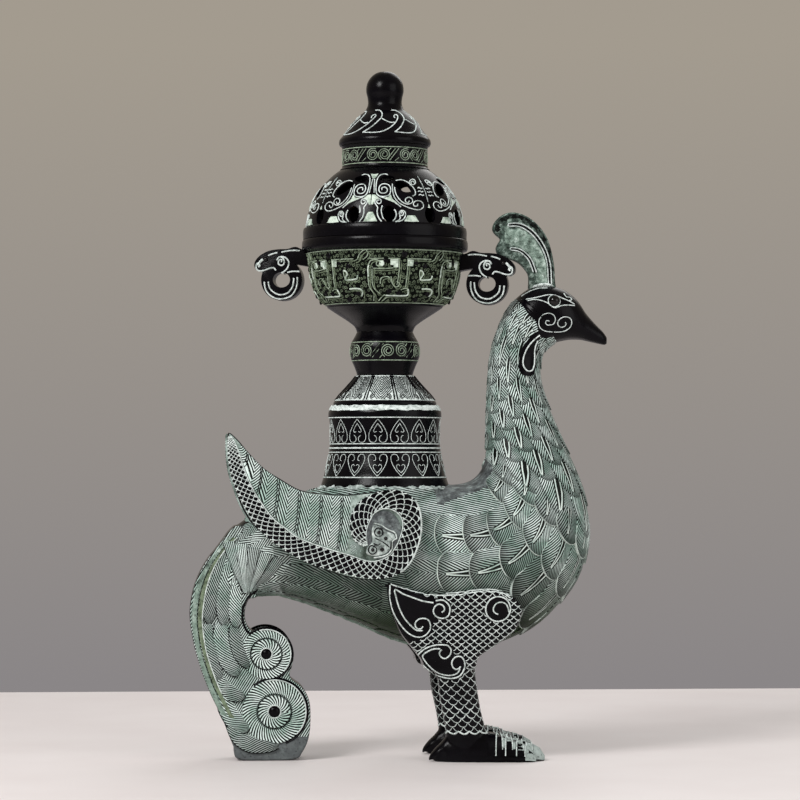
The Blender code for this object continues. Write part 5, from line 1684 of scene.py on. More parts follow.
# head, lappet and crest
headOrnament = {
    "lappet": [
        (81.2, 255.4), (77.5, 252.2), (73.8, 247.6), (71.3, 243.0), (70.2, 237.6), (70.2, 232.5),
        (71.8, 228.9), (75.2, 227.8), (78.4, 228.0), (80.7, 230.3), (81.6, 234.9), (81.6, 240.3),
        (82.1, 245.8), (83.5, 251.3), (84.1, 254.0),
    ],
    "lappetLine": [
        (83.2, 252.6), (80.7, 250.8), (77.5, 247.6), (75.0, 243.9), (73.4, 239.8), (72.9, 236.2),
        (73.6, 233.5), (75.2, 231.6), (77.0, 231.2), (78.9, 232.1), (80.0, 235.3), (80.3, 239.0),
        (80.2, 242.6), (80.7, 246.2), (82.1, 249.4),
    ],
    "lappetRise": 2.5,
    "crestLines": [
        [
            (89.8, 284.0), (89.2, 294.0), (88.3, 299.5), (86.1, 305.0), (83.0, 309.9), (79.3, 314.2),
            (75.0, 317.2), (70.7, 318.7), (65.8, 318.7),
        ],
        [
            (91.6, 284.0), (91.2, 294.0), (89.9, 300.1), (87.8, 305.9), (84.7, 311.1), (81.0, 315.4),
            (76.2, 318.9), (71.4, 320.4), (66.1, 320.2),
        ],
        [(80.6, 291.0), (78.1, 297.6), (75.0, 301.3), (71.3, 303.7), (67.0, 304.3)],
        [(82.5, 291.0), (79.6, 298.5), (76.1, 302.6), (72.0, 305.1), (67.3, 305.6)],
    ],
    "crestBand": (
        [
            (89.4, 284.0), (88.8, 294.0), (87.9, 299.3), (85.7, 304.7), (82.6, 309.6), (78.9, 313.8),
            (74.8, 316.7), (62.6, 317.2),
        ],
        [
            (83.0, 284.0), (83.0, 291.0), (81.8, 295.2), (80.0, 298.8), (78.4, 301.2), (76.3, 303.1),
            (72.1, 305.6), (63.0, 308.4),
        ],
    ),
    "cheek": [
        (70.3, 274.8), (73.7, 269.6), (76.8, 264.4), (80.7, 260.9), (82.0, 255.4), (84.0, 251.2),
        (88.5, 250.4), (92.5, 252.5), (91.0, 257.0), (86.0, 262.5), (80.0, 268.5), (75.0, 274.0),
    ],
    "eyeRing": (92.0, 273.3, 3.6), "lappetMiddle": (77.0, 240.0), "cheekMiddle": (83.0, 262.5),
    "cheekRise": 2.1, "lineRadius": 0.4, "curlRadius": 0.33, "lappetRadius": 0.45, "darkRadius": 0.55,
    "solderRadius": 0.7, "solder": (86.4, 7.9, 4.6, 283.0),
    "curl": [
        (89.0, 261.2), (87.0, 261.4), (86.5, 260.1), (87.4, 258.9), (89.3, 258.8), (91.6, 259.6),
        (92.6, 261.9), (92.0, 264.2), (90.2, 265.6), (87.9, 265.9), (85.1, 264.9), (83.0, 262.6),
        (82.4, 260.1), (83.0, 257.5), (85.1, 255.7), (88.3, 254.9), (92.0, 254.8), (95.7, 254.9),
        (98.9, 255.6), (101.5, 257.4), (102.6, 259.7), (102.4, 262.0), (100.8, 263.4), (98.5, 263.8),
        (96.2, 263.1), (94.5, 261.5), (94.1, 259.6), (95.0, 258.1), (96.6, 257.6), (98.5, 258.3),
        (99.2, 259.7), (98.5, 260.5),
    ],
    "lines": [
        [
            (75.5, 274.4), (81.0, 275.3), (85.1, 276.3), (88.8, 277.0), (92.5, 276.8), (95.7, 275.6),
            (98.5, 274.5), (101.7, 273.2), (104.7, 271.6),
        ],
        [
            (76.4, 273.5), (80.5, 274.2), (85.1, 273.3), (88.8, 271.5), (90.6, 269.9), (92.9, 269.2),
            (96.2, 270.4), (99.8, 270.9), (104.7, 270.7),
        ],
        [(73.2, 276.4), (77.8, 279.2), (83.3, 281.1), (88.8, 281.3)],
        [(98.5, 277.9), (99.8, 275.9), (102.1, 275.7), (103.1, 274.3), (100.8, 273.4)],
    ],
}


def buildHeadOrnament():
    shape = headOrnament
    lappetRise = shape["lappetRise"]
    for name, outline, middle, height in (
        ("neck_lappet", shape["lappet"], shape["lappetMiddle"], lappetRise),
        ("head_black_edge", shape["cheek"], shape["cheekMiddle"], shape["cheekRise"]),
    ):
        def onHead(flat, a):
            spot = onSide("body head", flat.x, flat.y) or Vector((flat.x, -13.0, flat.y))
            rise = height if a < 0.9 else height * 0.8 if a < 0.99 else -0.6
            return Vector((flat.x, spot.y - rise, flat.y))

        bm = bmesh.new()
        addFan(bm, smoothRun(outline, 3, closed=True), Vector(middle), [0.0, 0.4, 0.75, 0.94, 1.0], onHead)
        surfaces[name] = BVHTree.FromBMesh(bm)
        finishPair(name, bm, blackBronze, merge=False)
    x, z, radius = shape["eyeRing"]
    paths = [curve2(line) for line in shape["lines"]] + [spiral(x, z, radius, radius, 1.0, 0.0, 32)]
    for name, drawn, width, surface, sink in (
        ("head_pale_lines", paths, shape["lineRadius"], "head head_black_edge", 0.15),
        ("cheek_curl", [curve2(shape["curl"])], shape["curlRadius"], "head head_black_edge", 0.15),
        ("lappet_line", [curve2(shape["lappetLine"])], shape["lappetRadius"], "body", 0.15 - lappetRise),
    ):
        runs = [run for path in drawn for run in laidRuns(surface, path, sink, None, -1.0)]
        layLines(name, runs, inlay, radius=width, pair=True)

    face = -crestShape["half"]
    # dark ragged edge, and a pale field between the two loops
    edge = smoothRun(crestShape["outline"][1:13], 5)
    last = len(edge) - 1
    one, two = (smoothRun(side, 5) for side in shape["crestBand"])
    count = len(one) - 1

    def edgeSpot(a, b):
        i = round(b * last)
        way = (edge[min(i + 1, last)] - edge[max(i - 1, 0)]).normalized()
        ragged = 2.9 + 2.2 * noise.noise((b * 19.0, 0.0, 7.0))
        flat = edge[i] + Vector((-way.y, way.x)) * (0.9 + ragged * a)
        return Vector((flat.x, face - raised(a, b, 0.3, 0.3), flat.y))

    def fieldSpot(a, b):
        flat = one[round(b * count)].lerp(two[round(b * count)], a)
        return Vector((flat.x, face - raised(a, b, 0.4), flat.y))

    for name, stops, steps, place, material in (
        ("crest_dark_edge", [0.0, 0.1, 0.5, 0.9, 1.0], last, edgeSpot, crestDark),
        ("crest_pale_field", [0.0, 0.08, 0.3, 0.5, 0.7, 0.92, 1.0], count, fieldSpot, crestPale),
    ):
        bm = bmesh.new()
        addPatch(bm, stops, stepsOf(steps), place)
        finishPair(name, bm, material, merge=False, sharp=50.0)
    loops, dark = [], []
    for first, second in (shape["crestLines"][:2], shape["crestLines"][2:]):
        loops += flatRuns([first + second[::-1]], face - 0.5)
        sides = zip(curve2(first), curve2(second))
        dark.append([Vector(((a[0] + b[0]) / 2, face - 0.35, (a[1] + b[1]) / 2)) for a, b in sides])
    layLines("crest_pale_lines", loops, inlay, radius=shape["lineRadius"], pair=True)
    layLines("crest_dark_lines", dark, blackBronze, radius=shape["darkRadius"], pair=True)
    # crumbly solder where the crest stands on the head
    middle, long, wide, top = shape["solder"]
    rings = []
    for lift in (0.0, 0.8):
        ring = []
        for i in range(41):
            c, w = math.cos(fullTurn * i / 40), math.sin(fullTurn * i / 40)
            fall = 0.05 * (long * c) ** 2 * (1 if c < 0 else 0.5)
            rough = 0.5 * noise.noise((3 * c, 3 * w, lift))
            ring.append(Vector((middle + long * c, (wide + lift) * w, top - fall + lift + rough)))
        rings.append(ring)
    layLines("crest_solder", rings, inlay, radius=shape["solderRadius"])
    print("head, lappet and crest ornament laid")


buildHeadOrnament()


# handles: curled ear, brow, mouth and ringed loop on both faces, distances from the column's axis
handleOrnament = {
    "lines": [
        [
            (62.0, 295.6), (61.7, 297.1), (63.3, 296.8), (63.9, 294.9), (62.6, 293.7), (60.8, 294.1),
            (60.2, 296.2), (61.4, 298.3), (63.6, 298.6), (64.8, 296.7),
        ],
        [
            (62.0, 288.9), (59.3, 290.8), (57.8, 293.2), (57.5, 295.6), (58.7, 297.7), (60.8, 298.8),
            (63.3, 298.6), (64.8, 296.7),
        ],
        [
            (65.4, 290.7), (66.6, 292.2), (69.3, 291.9), (73.0, 290.6), (76.0, 290.6), (77.2, 292.1),
            (77.2, 294.2), (76.0, 295.1), (75.1, 293.6), (76.0, 292.7),
        ],
        [(64.5, 301.4), (67.5, 300.6), (70.0, 299.6)],
        [
            (54.4, 286.0), (55.0, 281.5), (56.6, 278.6), (59.0, 276.6), (63.3, 276.0), (66.9, 277.7),
            (69.3, 280.4), (69.9, 284.0),
        ],
        [
            (52.3, 286.5), (52.4, 282.2), (54.0, 277.8), (57.2, 274.6), (63.3, 273.4), (68.4, 275.3),
            (71.6, 279.1), (72.4, 283.9),
        ],
        [(51.0, 289.9), (55.0, 290.0), (58.4, 289.4)], [(50.8, 302.4), (56.0, 302.6), (62.0, 301.6)],
    ],
    "nose": [(73.4, 297.4), (74.9, 296.0), (76.4, 293.8)], "eye": (71.6, 297.4, 1.4), "edge": 11.9,
    "lineRadius": 0.5, "noseRadius": 0.85,
}


def buildHandleOrnament():
    shape = handleOrnament
    turn = Matrix.Rotation(math.radians(handleShape["turn"]), 4, "Z")
    rim = spiral(
        handleShape["loopRadius"], handleShape["loopZ"], shape["edge"], shape["edge"], 0.5, 185.0, 60,
    )
    curls, snout = [curve2(line) for line in shape["lines"]], [curve2(shape["nose"])]
    eyeU, eyeZ, radius = shape["eye"]
    for name, sign in (("front_handle", 1.0), ("rear_handle", -1.0)):
        hub = Matrix.Translation((towerX, 0.0, handleShape["lift"][name])) @ turn
        lines, nose, dots = [], [], bmesh.new()
        for face in (-1.0, 1.0):
            for paths, flat, sink in ((lines, curls, 0.1), (lines, [rim], 0.8), (nose, snout, 0.3)):
                y = face * (handleShape["half"] - sink)
                paths += [[hub @ Vector((sign * u, y, z)) for u, z in path] for path in flat]
            place = hub @ Matrix.Translation((sign * eyeU, face * (handleShape["half"] - 0.1), eyeZ))
            bmesh.ops.create_uvsphere(dots, u_segments=14, v_segments=10, radius=radius, matrix=place)
        layLines(name + "_pale_lines", lines, inlay, radius=shape["lineRadius"])
        layLines(name + "_nose_strokes", nose, inlay, radius=shape["noseRadius"])
        finishPiece(name + "_eyes", dots, eyeGlass)
    print("handle ornament laid")


buildHandleOrnament()

# ornament of the column: degrees round its axis and heights, one unit of each band repeated
columnWidths = {}


def columnRadius(node, z):
    key = (node, round(z, 1))
    if key not in columnWidths:
        widest = 0.0
        for run in columnShapes[node]:
            line = smoothRun(run, 4)
            for a, b in zip(line, line[1:]):
                if min(a.y, b.y) <= key[1] <= max(a.y, b.y):
                    share = (key[1] - a.y) / (b.y - a.y) if a.y != b.y else 0.0
                    widest = max(widest, a.x + (b.x - a.x) * share)
        columnWidths[key] = widest
    return columnWidths[key]


def onColumn(node, angle, z, sink=0.12):
    r = columnRadius(node, z) - sink
    return Vector((towerX + r * math.cos(math.radians(angle)), r * math.sin(math.radians(angle)), z))


def repeated(shapes, repeats, first, mirror=False):
    # start angle, direction and shape of every repeat
    for number in range(repeats):
        for way in ((1.0, -1.0) if mirror else (1.0,)):
            for shape in shapes:
                yield first + 360.0 * number / repeats, way, shape


def columnLines(node, paths, repeats=1, first=0.0, mirror=False, skip=None, steps=3, sink=0.12):
    out = []
    for start, way, path in repeated(paths, repeats, first, mirror):
        run = []
        for turn, z in curve2(path, steps):
            spot = onColumn(node, start + way * turn, z, sink)
            if skip and skip(spot):
                out.append(run)
                run = []
            else:
                run.append(spot)
        out.append(run)
    return [run for run in out if len(run) > 1]


def levelRing(z):
    return [(360.0 * i / 96, z) for i in range(97)]


def columnFills(name, node, outlines, material, body, repeats, first, mirror=False, rise=0.3):
    # thin raised patches inside the outlines
    bm = bmesh.new()
    for start, way, outline in repeated(outlines, repeats, first, mirror):
        corners = [Vector(p) for p in outline]
        around = [a.lerp(b, t / 3) for a, b in zip(corners, corners[1:] + corners[:1]) for t in range(3)]
        middle = sum(around, Vector((0.0, 0.0))) / len(around)

        def lay(flat, a):
            return onColumn(node, start + way * flat.x, flat.y, -rise if a < 0.99 else 0.3)

        spot = lay(middle, 0.0)
        addFan(bm, around, middle, [0.0, 0.5, 0.92, 1.0], lay, (spot.x - towerX, spot.y, 0.3))
    return finishPiece(name, bm, material, body, merge=False)


def columnDots(name, node, dots, material, repeats, first, flat=0.5):
    bm = bmesh.new()
    for start, way, (turn, z, radius) in repeated(dots, repeats, first):
        place = Matrix.Translation(onColumn(node, start + turn, z))
        place = place @ Matrix.Rotation(math.radians(start + turn), 4, "Z") @ Matrix.Diagonal(
            (flat, 1.0, 1.0, 1.0)
        )
        bmesh.ops.create_uvsphere(bm, u_segments=12, v_segments=8, radius=radius, matrix=place)
    return finishPiece(name, bm, material)


def sleeve(name, node, low, high, material, rise=0.12, depth=0.6):
    # a thin band round the column
    rows = [low + (high - low) * i / 16 for i in range(17)]
    runs = [
        [(columnRadius(node, z) + rise, z) for z in rows],
        [(columnRadius(node, z) - depth, z) for z in (high, low)],
    ]
    return finishPiece(name, turnedPiece(runs, 120, 1), material)


def curlOn(node, angle, z, outer, inner, turns, start, steps=16):
    # a spiral measured in mm, laid round the column
    width = math.degrees(1.0 / columnRadius(node, z))
    return [(angle + x * width, z + y) for x, y in spiral(0.0, 0.0, outer, inner, turns, start, steps)]


# pedestal: pale rings and two rows of hearts; skirt: chevron panels; solder seams
pedestalOrnament = {
    "rings": [(203.4, 0.3), (187.8, 0.32), (185.3, 0.48), (182.8, 0.32), (167.9, 0.36)], "hearts": 16,
    "first": -100.9, "unit": 0.057, "line": 0.27,
    "upper": [
        [
            (0, 0), (52, 65), (92, 145), (95, 205), (77, 235), (47, 242), (22, 230), (14, 205), (22, 180),
            (40, 170),
        ],
        [(0, 45), (27, 85), (45, 118), (42, 133), (27, 137), (15, 128)],
    ],
    "lower": [
        [
            (0, 0), (45, -50), (85, -120), (100, -180), (90, -215), (65, -228), (35, -220), (20, -190),
            (25, -165), (43, -160),
        ],
        [(0, -35), (30, -65), (45, -95), (40, -115), (22, -122), (10, -108)],
    ],
    "panels": 10, "panelFirst": -98.8, "pitch": 1.45, "skirtLow": 213.6, "skirtHigh": 228.6,
    "tips": (202.4, 168.6), "border": -18.0, "borderHalf": 1.7, "chevron": (14.4, 7.0),
    "curl": (9.6, 215.9, 1.7), "curlClear": 0.6, "skirtRadius": 28.0, "chevronRadius": 0.36,
    "borderRadius": 0.6,
    "skirtBead": [
        [(32.6, 207.8), (33.6, 207.8)], [(33.6, 207.8), (33.2, 209.2), (32.0, 210.7)],
        [(32.0, 210.7), (31.0, 210.4)], [(31.0, 210.4), (32.6, 207.8)],
    ],
    "footSeam": [
        [(37.6, 163.0), (38.8, 162.7), (39.6, 162.2), (40.4, 161.6), (41.2, 160.9)],
        [(41.2, 160.9), (37.6, 160.2)], [(37.6, 160.2), (37.6, 163.0)],
    ],
}


def buildPedestalOrnament():
    shape = pedestalOrnament
    for number, (z, radius) in enumerate(shape["rings"]):
        paths = columnLines("pedestal", [levelRing(z)], steps=1, sink=0.05)
        layLines("pedestal_ring_%d" % (number + 1), paths, inlay, radius=radius)
    lines = []
    unit = shape["unit"]  # millimetres to a unit of the hearts' drawing
    for rows, tip in zip((shape["upper"], shape["lower"]), shape["tips"]):
        paths = []
        for row in rows:
            spots = [(x * unit, tip - y * unit) for x, y in row]
            paths.append([(math.degrees(x / columnRadius("pedestal", z)), z) for x, z in spots])
        lines += columnLines("pedestal", paths, shape["hearts"], shape["first"], mirror=True)
    layLines("pedestal_hearts", lines, inlay, radius=shape["line"], sides=0)

    low, high = shape["skirtLow"], shape["skirtHigh"]
    sleeve("skirt_pale_panels", "skirt", low, high, inlay)
    curlTurn, curlZ, curlRadius = shape["curl"]
    wide, tall = shape["chevron"]
    thin = []
    apex = low - tall
    while apex < high:
        path = []
        for i in range(13):
            turn, z = wide * i / 12, apex + tall * i / 12
            away = math.hypot(math.radians(turn - curlTurn) * shape["skirtRadius"], z - curlZ)
            if low + 0.3 < z < high - 0.3 and away > curlRadius + shape["curlClear"]:
                path.append((turn, z))
        if len(path) > 1:
            thin.append(path)
        apex += shape["pitch"]
    thin.append(curlOn("skirt", curlTurn, curlZ, curlRadius, 0.4, 1.6, -90.0))
    panels = {"repeats": shape["panels"], "first": shape["panelFirst"], "sink": -0.02}
    chevrons = columnLines("skirt", thin, mirror=True, steps=1, **panels)
    layLines("skirt_chevrons", chevrons, blackBronze, radius=shape["chevronRadius"], sides=0)
    turns = [shape["border"] + side * shape["borderHalf"] for side in (-1.0, 1.0)]
    thick = [[(turn, z) for z in (low + 0.2, (low + high) / 2, high - 0.2)] for turn in turns]
    borders = columnLines("skirt", thick, steps=2, **panels)
    layLines("skirt_panel_borders", borders, blackBronze, radius=shape["borderRadius"], sides=0)

    # pale solder under the skirt and, crumbly, at the pedestal's foot
    bead = turnedPiece(shape["skirtBead"], 160)
    for vert in bead.verts:
        vert.co.z += 0.7 * noise.noise(vert.co * 0.3)
    finishPiece("skirt_solder", bead, inlay)
    seam = turnedPiece(shape["footSeam"], 200)
    for vert in seam.verts:
        away = Vector((vert.co.x - towerX, vert.co.y, 0.0)).normalized()
        rough = 1.3 * noise.noise(vert.co * 0.22) + 0.7 * noise.noise(vert.co * 0.9)
        vert.co += away * rough * 0.9 + up * (max(0.0, vert.co.z - 161.0) * 0.6 * rough)
    finishPiece("pedestal_solder", seam, rubbedPaleAndHighlight, sharp=60.0)
    print("pedestal and skirt ornament laid")


buildPedestalOrnament()

# knop, collar and cap: bands of double spirals with slanting strokes, and curls on the roof
bandOrnament = {
    "knop": {
        "rings": [237.6, 248.5], "repeats": 6, "first": facing, "spirals": [(-31.2, 243.4), (5.4, 243.2)],
        "radius": 4.1,
        "strokes": [
            [(-21.4, 239.3), (-12.0, 243.0), (-2.4, 247.4)],
            [(-25.4, 239.9), (-16.5, 243.8), (-8.6, 247.6)], [(-9.0, 239.0), (-3.4, 241.0)],
            [(-20.0, 247.6), (-24.0, 246.0)],
        ],
    },
    "collar": {
        "rings": [354.7, 364.0], "repeats": 8, "first": facing, "spirals": [(-16.4, 359.4), (-0.6, 359.4)],
        "radius": 3.8,
        "strokes": [
            [(6.4, 355.8), (12.6, 359.4), (19.0, 363.0)], [(2.6, 356.0), (8.8, 359.8), (14.6, 363.2)],
            [(13.4, 355.6), (19.0, 357.6)], [(8.4, 363.2), (5.0, 361.6)],
        ],
    },
    "cap": {
        "repeats": 8, "first": facing,
        "lines": [
            [
                (-27.2, 387.0), (-15.0, 386.9), (-7.3, 385.4), (-5.6, 383.7), (-7.2, 381.6), (-13.2, 379.1),
                (-20.6, 376.1), (-27.6, 373.9), (-31.7, 372.8),
            ],
            [
                (-31.7, 372.8), (-22.0, 372.5), (-13.8, 372.4), (-5.3, 372.8), (3.5, 374.4), (12.5, 377.0),
                (19.2, 379.4), (24.6, 381.8), (26.8, 383.4), (23.4, 384.1), (17.9, 383.2), (19.0, 381.8),
            ],
            [(-4.9, 381.3), (1.5, 380.0), (9.3, 378.8), (16.3, 379.0)],
        ],
    },
    "ringRadius": 0.28, "spiralRadius": 0.34, "curlRadius": 0.42,
}


def buildBandOrnament():
    shape = bandOrnament
    for name, node, body in (("knop", "stem_knop", "bird"), ("collar", "vent_collar", "cover")):
        band = shape[name]
        rings = columnLines(node, [levelRing(z) for z in band["rings"]], steps=1, sink=0.05)
        layLines(name + "_rings", rings, dullInlay, body, radius=shape["ringRadius"])
        paths = list(band["strokes"])
        # the two spirals of a pair wind opposite ways
        for (turn, z), turns, start in zip(band["spirals"], (2.4, -2.4), (60.0, 240.0)):
            paths.append(curlOn(node, turn, z, band["radius"], 0.9, turns, start))
        lines = columnLines(node, paths, band["repeats"], band["first"], steps=1)
        layLines(name + "_spirals", lines, dullInlay, body, radius=shape["spiralRadius"], sides=0)
    cap = shape["cap"]
    curls = columnLines("cap_finial", cap["lines"], cap["repeats"], cap["first"])
    layLines("cap_curls", curls, inlay, "cover", radius=shape["curlRadius"], sides=0)
    print("knop, collar and cap ornament laid")


buildBandOrnament()

# dome: a mask of curls round the openings, half of it here, mirrored and repeated four times
domeOrnament = {
    "repeats": 4, "first": -104.2,
    "lines": [
        [
            (16.9, 344.9), (11.1, 346.9), (5.5, 346.0), (3.2, 343.0), (3.0, 338.6), (3.8, 334.8),
            (6.6, 332.9), (11.8, 333.0), (14.5, 334.6), (15.1, 337.9), (13.2, 340.1), (8.8, 340.6),
            (6.0, 339.1), (5.6, 336.5), (7.5, 334.9), (10.9, 335.0), (12.5, 336.7), (11.0, 338.4),
            (8.3, 338.3), (7.9, 336.7),
        ],
        [(0.9, 343.8), (1.5, 339.4), (2.0, 335.1)],
        [
            (6.2, 330.4), (5.0, 330.6), (4.4, 329.7), (5.1, 328.8), (6.6, 328.6), (7.6, 329.7),
            (6.9, 331.1), (5.2, 331.5), (3.5, 330.8), (3.0, 329.3), (4.1, 327.7), (5.2, 326.3),
            (4.9, 323.7), (5.8, 320.6), (8.2, 317.9),
        ],
        [(8.5, 327.4), (7.8, 325.0), (8.2, 322.3), (9.5, 319.4), (12.3, 317.8)],
        [
            (22.3, 322.5), (22.0, 323.3), (23.1, 323.8), (24.0, 323.0), (23.5, 321.7), (21.9, 321.4),
            (20.8, 322.4), (21.1, 323.7), (22.8, 324.6), (24.8, 324.1), (25.5, 322.4), (24.6, 320.1),
            (22.2, 318.3), (18.3, 317.8),
        ],
        [(20.8, 321.4), (21.4, 320.1), (20.1, 318.6), (17.6, 317.8)],
        [(17.4, 325.1), (18.5, 322.9), (18.1, 320.3), (16.0, 318.1)],
        [
            (16.9, 340.7), (16.7, 336.7), (17.6, 332.8), (20.8, 329.2), (26.5, 326.7), (32.5, 325.3),
            (36.9, 325.3), (40.0, 326.9), (40.2, 329.1), (37.8, 330.6), (34.2, 330.3), (32.1, 328.7),
            (32.9, 327.2), (35.2, 327.6), (35.7, 328.7),
        ],
        [
            (18.5, 338.6), (19.0, 334.9), (21.0, 331.7), (24.5, 329.1), (28.1, 328.4), (31.3, 329.4),
            (31.7, 331.4), (29.6, 332.6), (26.7, 331.7), (26.1, 329.9), (28.0, 329.2), (29.2, 330.5),
        ],
        [
            (20.4, 342.7), (25.0, 343.3), (29.9, 342.4), (33.5, 340.0), (35.5, 337.1), (35.0, 334.4),
            (32.4, 333.3),
        ],
        [(45.0, 346.0), (45.0, 340.4), (45.0, 335.4), (45.0, 330.2)],
        [
            (37.5, 341.8), (36.8, 342.8), (34.5, 342.1), (34.2, 340.7), (36.2, 340.5), (38.8, 341.7),
            (39.1, 343.5), (37.0, 344.0), (33.7, 342.9), (32.5, 341.1), (33.5, 339.7),
        ],
        [(38.6, 338.3), (40.5, 338.8), (41.5, 338.1), (43.5, 338.6)],
        [(38.1, 336.2), (40.0, 336.6), (41.1, 336.0), (43.1, 336.5)],
        [(38.0, 334.0), (39.8, 334.5), (41.0, 333.9), (42.8, 334.3)],
        [(6.5, 332.6), (13.1, 331.2), (18.9, 328.6), (22.2, 326.5)],
    ],
    "fills": [
        [(0.2, 334.3), (3.0, 334.1), (6.2, 331.9), (3.0, 330.8), (1.6, 328.0), (0.1, 327.8)],
        [(14.9, 334.3), (16.2, 331.5), (20.8, 328.1), (15.6, 329.7), (8.4, 331.9), (12.9, 332.5)],
        [(26.8, 321.8), (32.6, 321.8), (35.6, 318.0), (30.0, 317.8), (24.0, 318.0)],
        [(44.0, 326.6), (45.0, 329.0), (46.0, 326.6)],
    ],
    "middleFill": [
        (-1.8, 323.8), (1.8, 323.8), (3.6, 320.8), (5.3, 317.9), (0.0, 317.8), (-5.3, 317.9), (-3.6, 320.8),
    ],
    "topFill": [(-4.2, 347.4), (0.0, 347.0), (4.2, 347.4), (1.5, 344.4), (0.0, 344.0), (-1.5, 344.4)],
    "lineRadius": 0.4, "holeReach": 9.0, "holeMargin": 0.15,
}
openings = list(coverHolePlaces())


def inCoverHole(spot):
    margin = domeOrnament["holeMargin"]
    for middle, turn, (wide, tall) in openings:
        way = spot - middle
        flat = turn.transposed() @ way
        away = math.hypot(flat.x / (wide + margin), flat.y / (tall + margin))
        if way.length < domeOrnament["holeReach"] and away < 1.0:
            return True
    return False


def buildDomeOrnament():
    shape = domeOrnament
    repeats, first = shape["repeats"], shape["first"]
    lines = columnLines("dome_cover", shape["lines"], repeats, first, mirror=True, skip=inCoverHole)
    layLines("dome_mask_lines", lines, inlay, "cover", radius=shape["lineRadius"], sides=0)
    columnFills(
        "dome_pale_fills", "dome_cover", shape["fills"], paleFill, "cover", repeats, first, mirror=True,
    )
    fills = [shape["middleFill"], shape["topFill"]]
    columnFills("dome_middle_fills", "dome_cover", fills, paleFill, "cover", repeats, first)
    print("dome ornament laid")


buildDomeOrnament()

# bowl: a dark green band of straps, hooks and small spirals, one sixth repeated
bowlOrnament = {
    "repeats": 6, "first": -122.2, "low": 270.8, "high": 302.0,
    "lines": [
        [(5.2, 295.1), (7.8, 296.1), (9.7, 299.0), (13.2, 301.4), (16.6, 301.6)],
        [(12.2, 295.8), (15.1, 297.6), (16.1, 299.8), (14.9, 301.0)],
        [(16.1, 292.1), (16.5, 293.3), (18.1, 295.2), (21.7, 295.8), (24.0, 295.0)],
        [(16.1, 292.1), (15.6, 285.9), (16.1, 280.3), (18.0, 277.7), (19.5, 275.7), (18.4, 272.0)],
        [(19.0, 292.0), (18.7, 283.8), (19.4, 280.0), (21.7, 277.6), (24.4, 276.1)],
        [(22.7, 294.6), (22.0, 293.2), (23.0, 292.1), (26.8, 291.9)],
        [(-14.6, 296.3), (-5.0, 296.3), (4.7, 296.3)], [(15.9, 296.4), (27.5, 296.4)],
        [(31.1, 296.4), (38.6, 296.3)], [(39.3, 296.5), (39.2, 289.4), (38.5, 283.8), (37.9, 281.0)],
        [(45.4, 296.4), (45.6, 289.5), (45.2, 283.9), (45.0, 279.6)],
        [(19.3, 290.7), (26.6, 290.4), (32.0, 290.7), (37.5, 291.1)],
        [(33.0, 285.9), (34.0, 283.1), (35.3, 280.6), (38.0, 279.9), (39.8, 281.7), (37.6, 283.2)],
        [(25.0, 281.7), (25.4, 284.5), (27.9, 285.6), (31.2, 285.5), (32.9, 283.8), (34.6, 281.4)],
        [(22.9, 272.0), (27.4, 275.1), (28.9, 274.9)], [(26.2, 272.0), (30.5, 274.1)],
        [(41.2, 278.2), (44.1, 279.0), (47.1, 278.9)], [(-4.2, 290.0), (-4.2, 287.0), (-3.0, 284.4)],
    ],
    "thick": [
        [
            (-4.3, 289.7), (-2.4, 289.2), (-1.1, 287.6), (-2.2, 286.2), (-3.2, 284.3), (1.5, 284.2),
            (6.3, 284.7), (7.2, 286.8),
        ],
        [(-0.8, 278.9), (4.5, 279.1), (9.4, 278.4), (9.9, 276.2), (8.6, 274.7)],
        [(29.0, 275.0), (37.6, 274.9), (46.5, 275.0), (47.8, 276.2), (47.1, 278.7)],
        [(16.3, 292.6), (15.6, 290.2), (15.8, 285.9)],
    ],
    "fills": [
        [(-14.5, 295.9), (-9.6, 295.7), (-10.2, 291.8), (-15.3, 292.0)],
        [(24.0, 295.4), (27.9, 295.5), (28.1, 292.9), (27.0, 291.9), (24.1, 292.5)],
        [(32.3, 295.9), (38.7, 296.0), (38.6, 291.1), (34.9, 291.1), (34.9, 292.4), (32.4, 292.5)],
    ],
    "dots": [
        (0.0, 292.4, 1.7), (43.0, 299.0, 2.0), (28.9, 295.2, 1.5), (-7.5, 294.0, 1.4), (31.8, 277.5, 1.7),
        (39.6, 276.7, 1.5), (5.9, 276.5, 1.8), (-4.2, 273.2, 1.9), (19.2, 291.1, 1.0),
    ],
    "small": (1.1, 18, 2.55), "lineRadius": 0.36, "secondRadius": 0.32, "secondShift": (1.5, -1.2),
    "strokeRadius": 0.55, "spiralRadius": 0.2, "degree": 0.78, "spacing": 0.8,
}


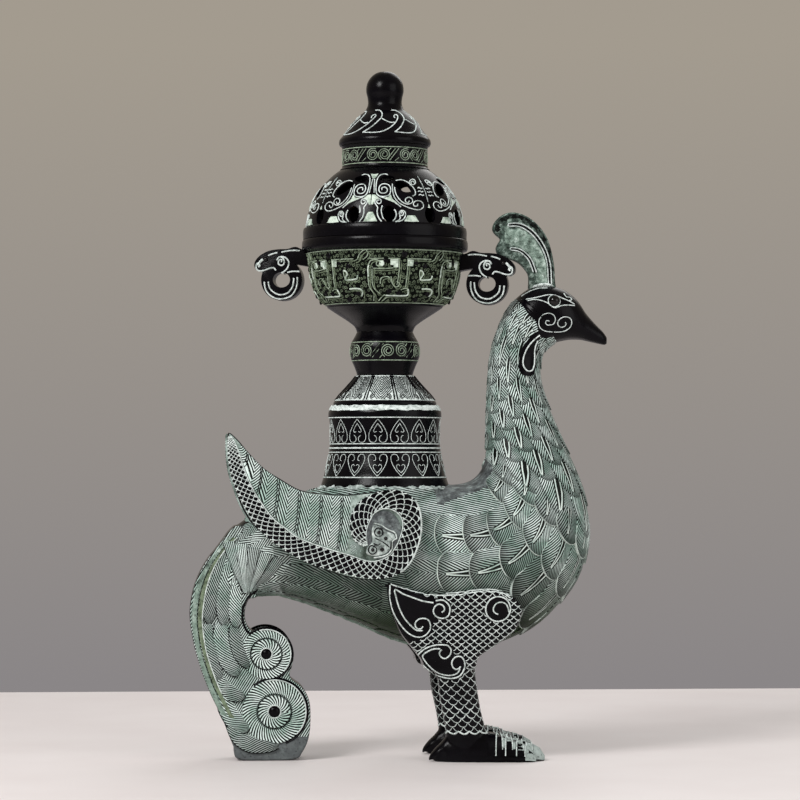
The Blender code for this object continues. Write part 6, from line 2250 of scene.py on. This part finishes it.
def buildBowlOrnament():
    shape = bowlOrnament
    repeats, first, low, high = shape["repeats"], shape["first"], shape["low"], shape["high"]
    straps = shape["lines"] + shape["thick"]

    def onBowl(paths, steps=3):
        return columnLines("bowl", paths, repeats, first, steps=steps, sink=-0.05)

    sleeve("bowl_green_band", "bowl", low, high, darkGreen)
    borders = columnLines("bowl", [levelRing(low + 0.2), levelRing(high - 0.3)], steps=1, sink=-0.05)
    lines = borders + onBowl(shape["lines"])
    layLines("bowl_band_lines", lines, dullInlay, radius=shape["lineRadius"], sides=0)
    aside, down = shape["secondShift"]
    beside = [[(turn + aside, z + down) for turn, z in line] for line in straps]
    layLines("bowl_band_second_lines", onBowl(beside), deepInlay, radius=shape["secondRadius"], sides=0)
    layLines("bowl_band_strokes", onBowl(shape["thick"]), paleFill, radius=shape["strokeRadius"], sides=0)
    columnFills("bowl_band_fills", "bowl", shape["fills"], paleFill, "bird", repeats, first, rise=0.25)
    columnDots("bowl_band_studs", "bowl", shape["dots"], blackBronze, repeats, first)
    # small spirals fill the ground between; they are drawn a little coarser than the real ones
    taken = [spot for line in straps for spot in curve2(line, 4)]
    taken += [(turn, z) for turn, z, size in shape["dots"]]
    radius, number, pitch = shape["small"]
    taken += [(u + way, v) for u, v in taken for way in (-60.0, 60.0)]
    paths, row, z = [], 0, low + 1.7
    while z < high - 1.2:
        for k in range(number):
            turn = -15.0 + 60.0 / number * (k + 0.5 * (row % 2)) + 0.5 * math.sin(2.1 * k + 3.7 * row)
            level = z + 0.4 * math.sin(1.7 * k + 2.3 * row)
            near = min(math.hypot((turn - u) * shape["degree"], level - v) for u, v in taken)
            if near > shape["spacing"] and not any(inside(fill, turn, level) for fill in shape["fills"]):
                size = min(radius + 0.25 * math.sin(5.3 * k + row), near + 0.3)
                turns = 1.25 if (k + row) % 2 else -1.25
                paths.append(curlOn("bowl", turn, level, size, 0.3, turns, 77.0 * k + 40.0 * row, 7))
        z += pitch
        row += 1
    layLines("bowl_band_spirals", onBowl(paths, 1), deepInlay, radius=shape["spiralRadius"], sides=0)
    print("bowl ornament laid")


buildBowlOrnament()

for name, thing in frame["nodes"].items():
    if not thing.hide_render:
        thing.data.materials.clear()
        thing.data.materials.append(steel)
print("fixings finished")
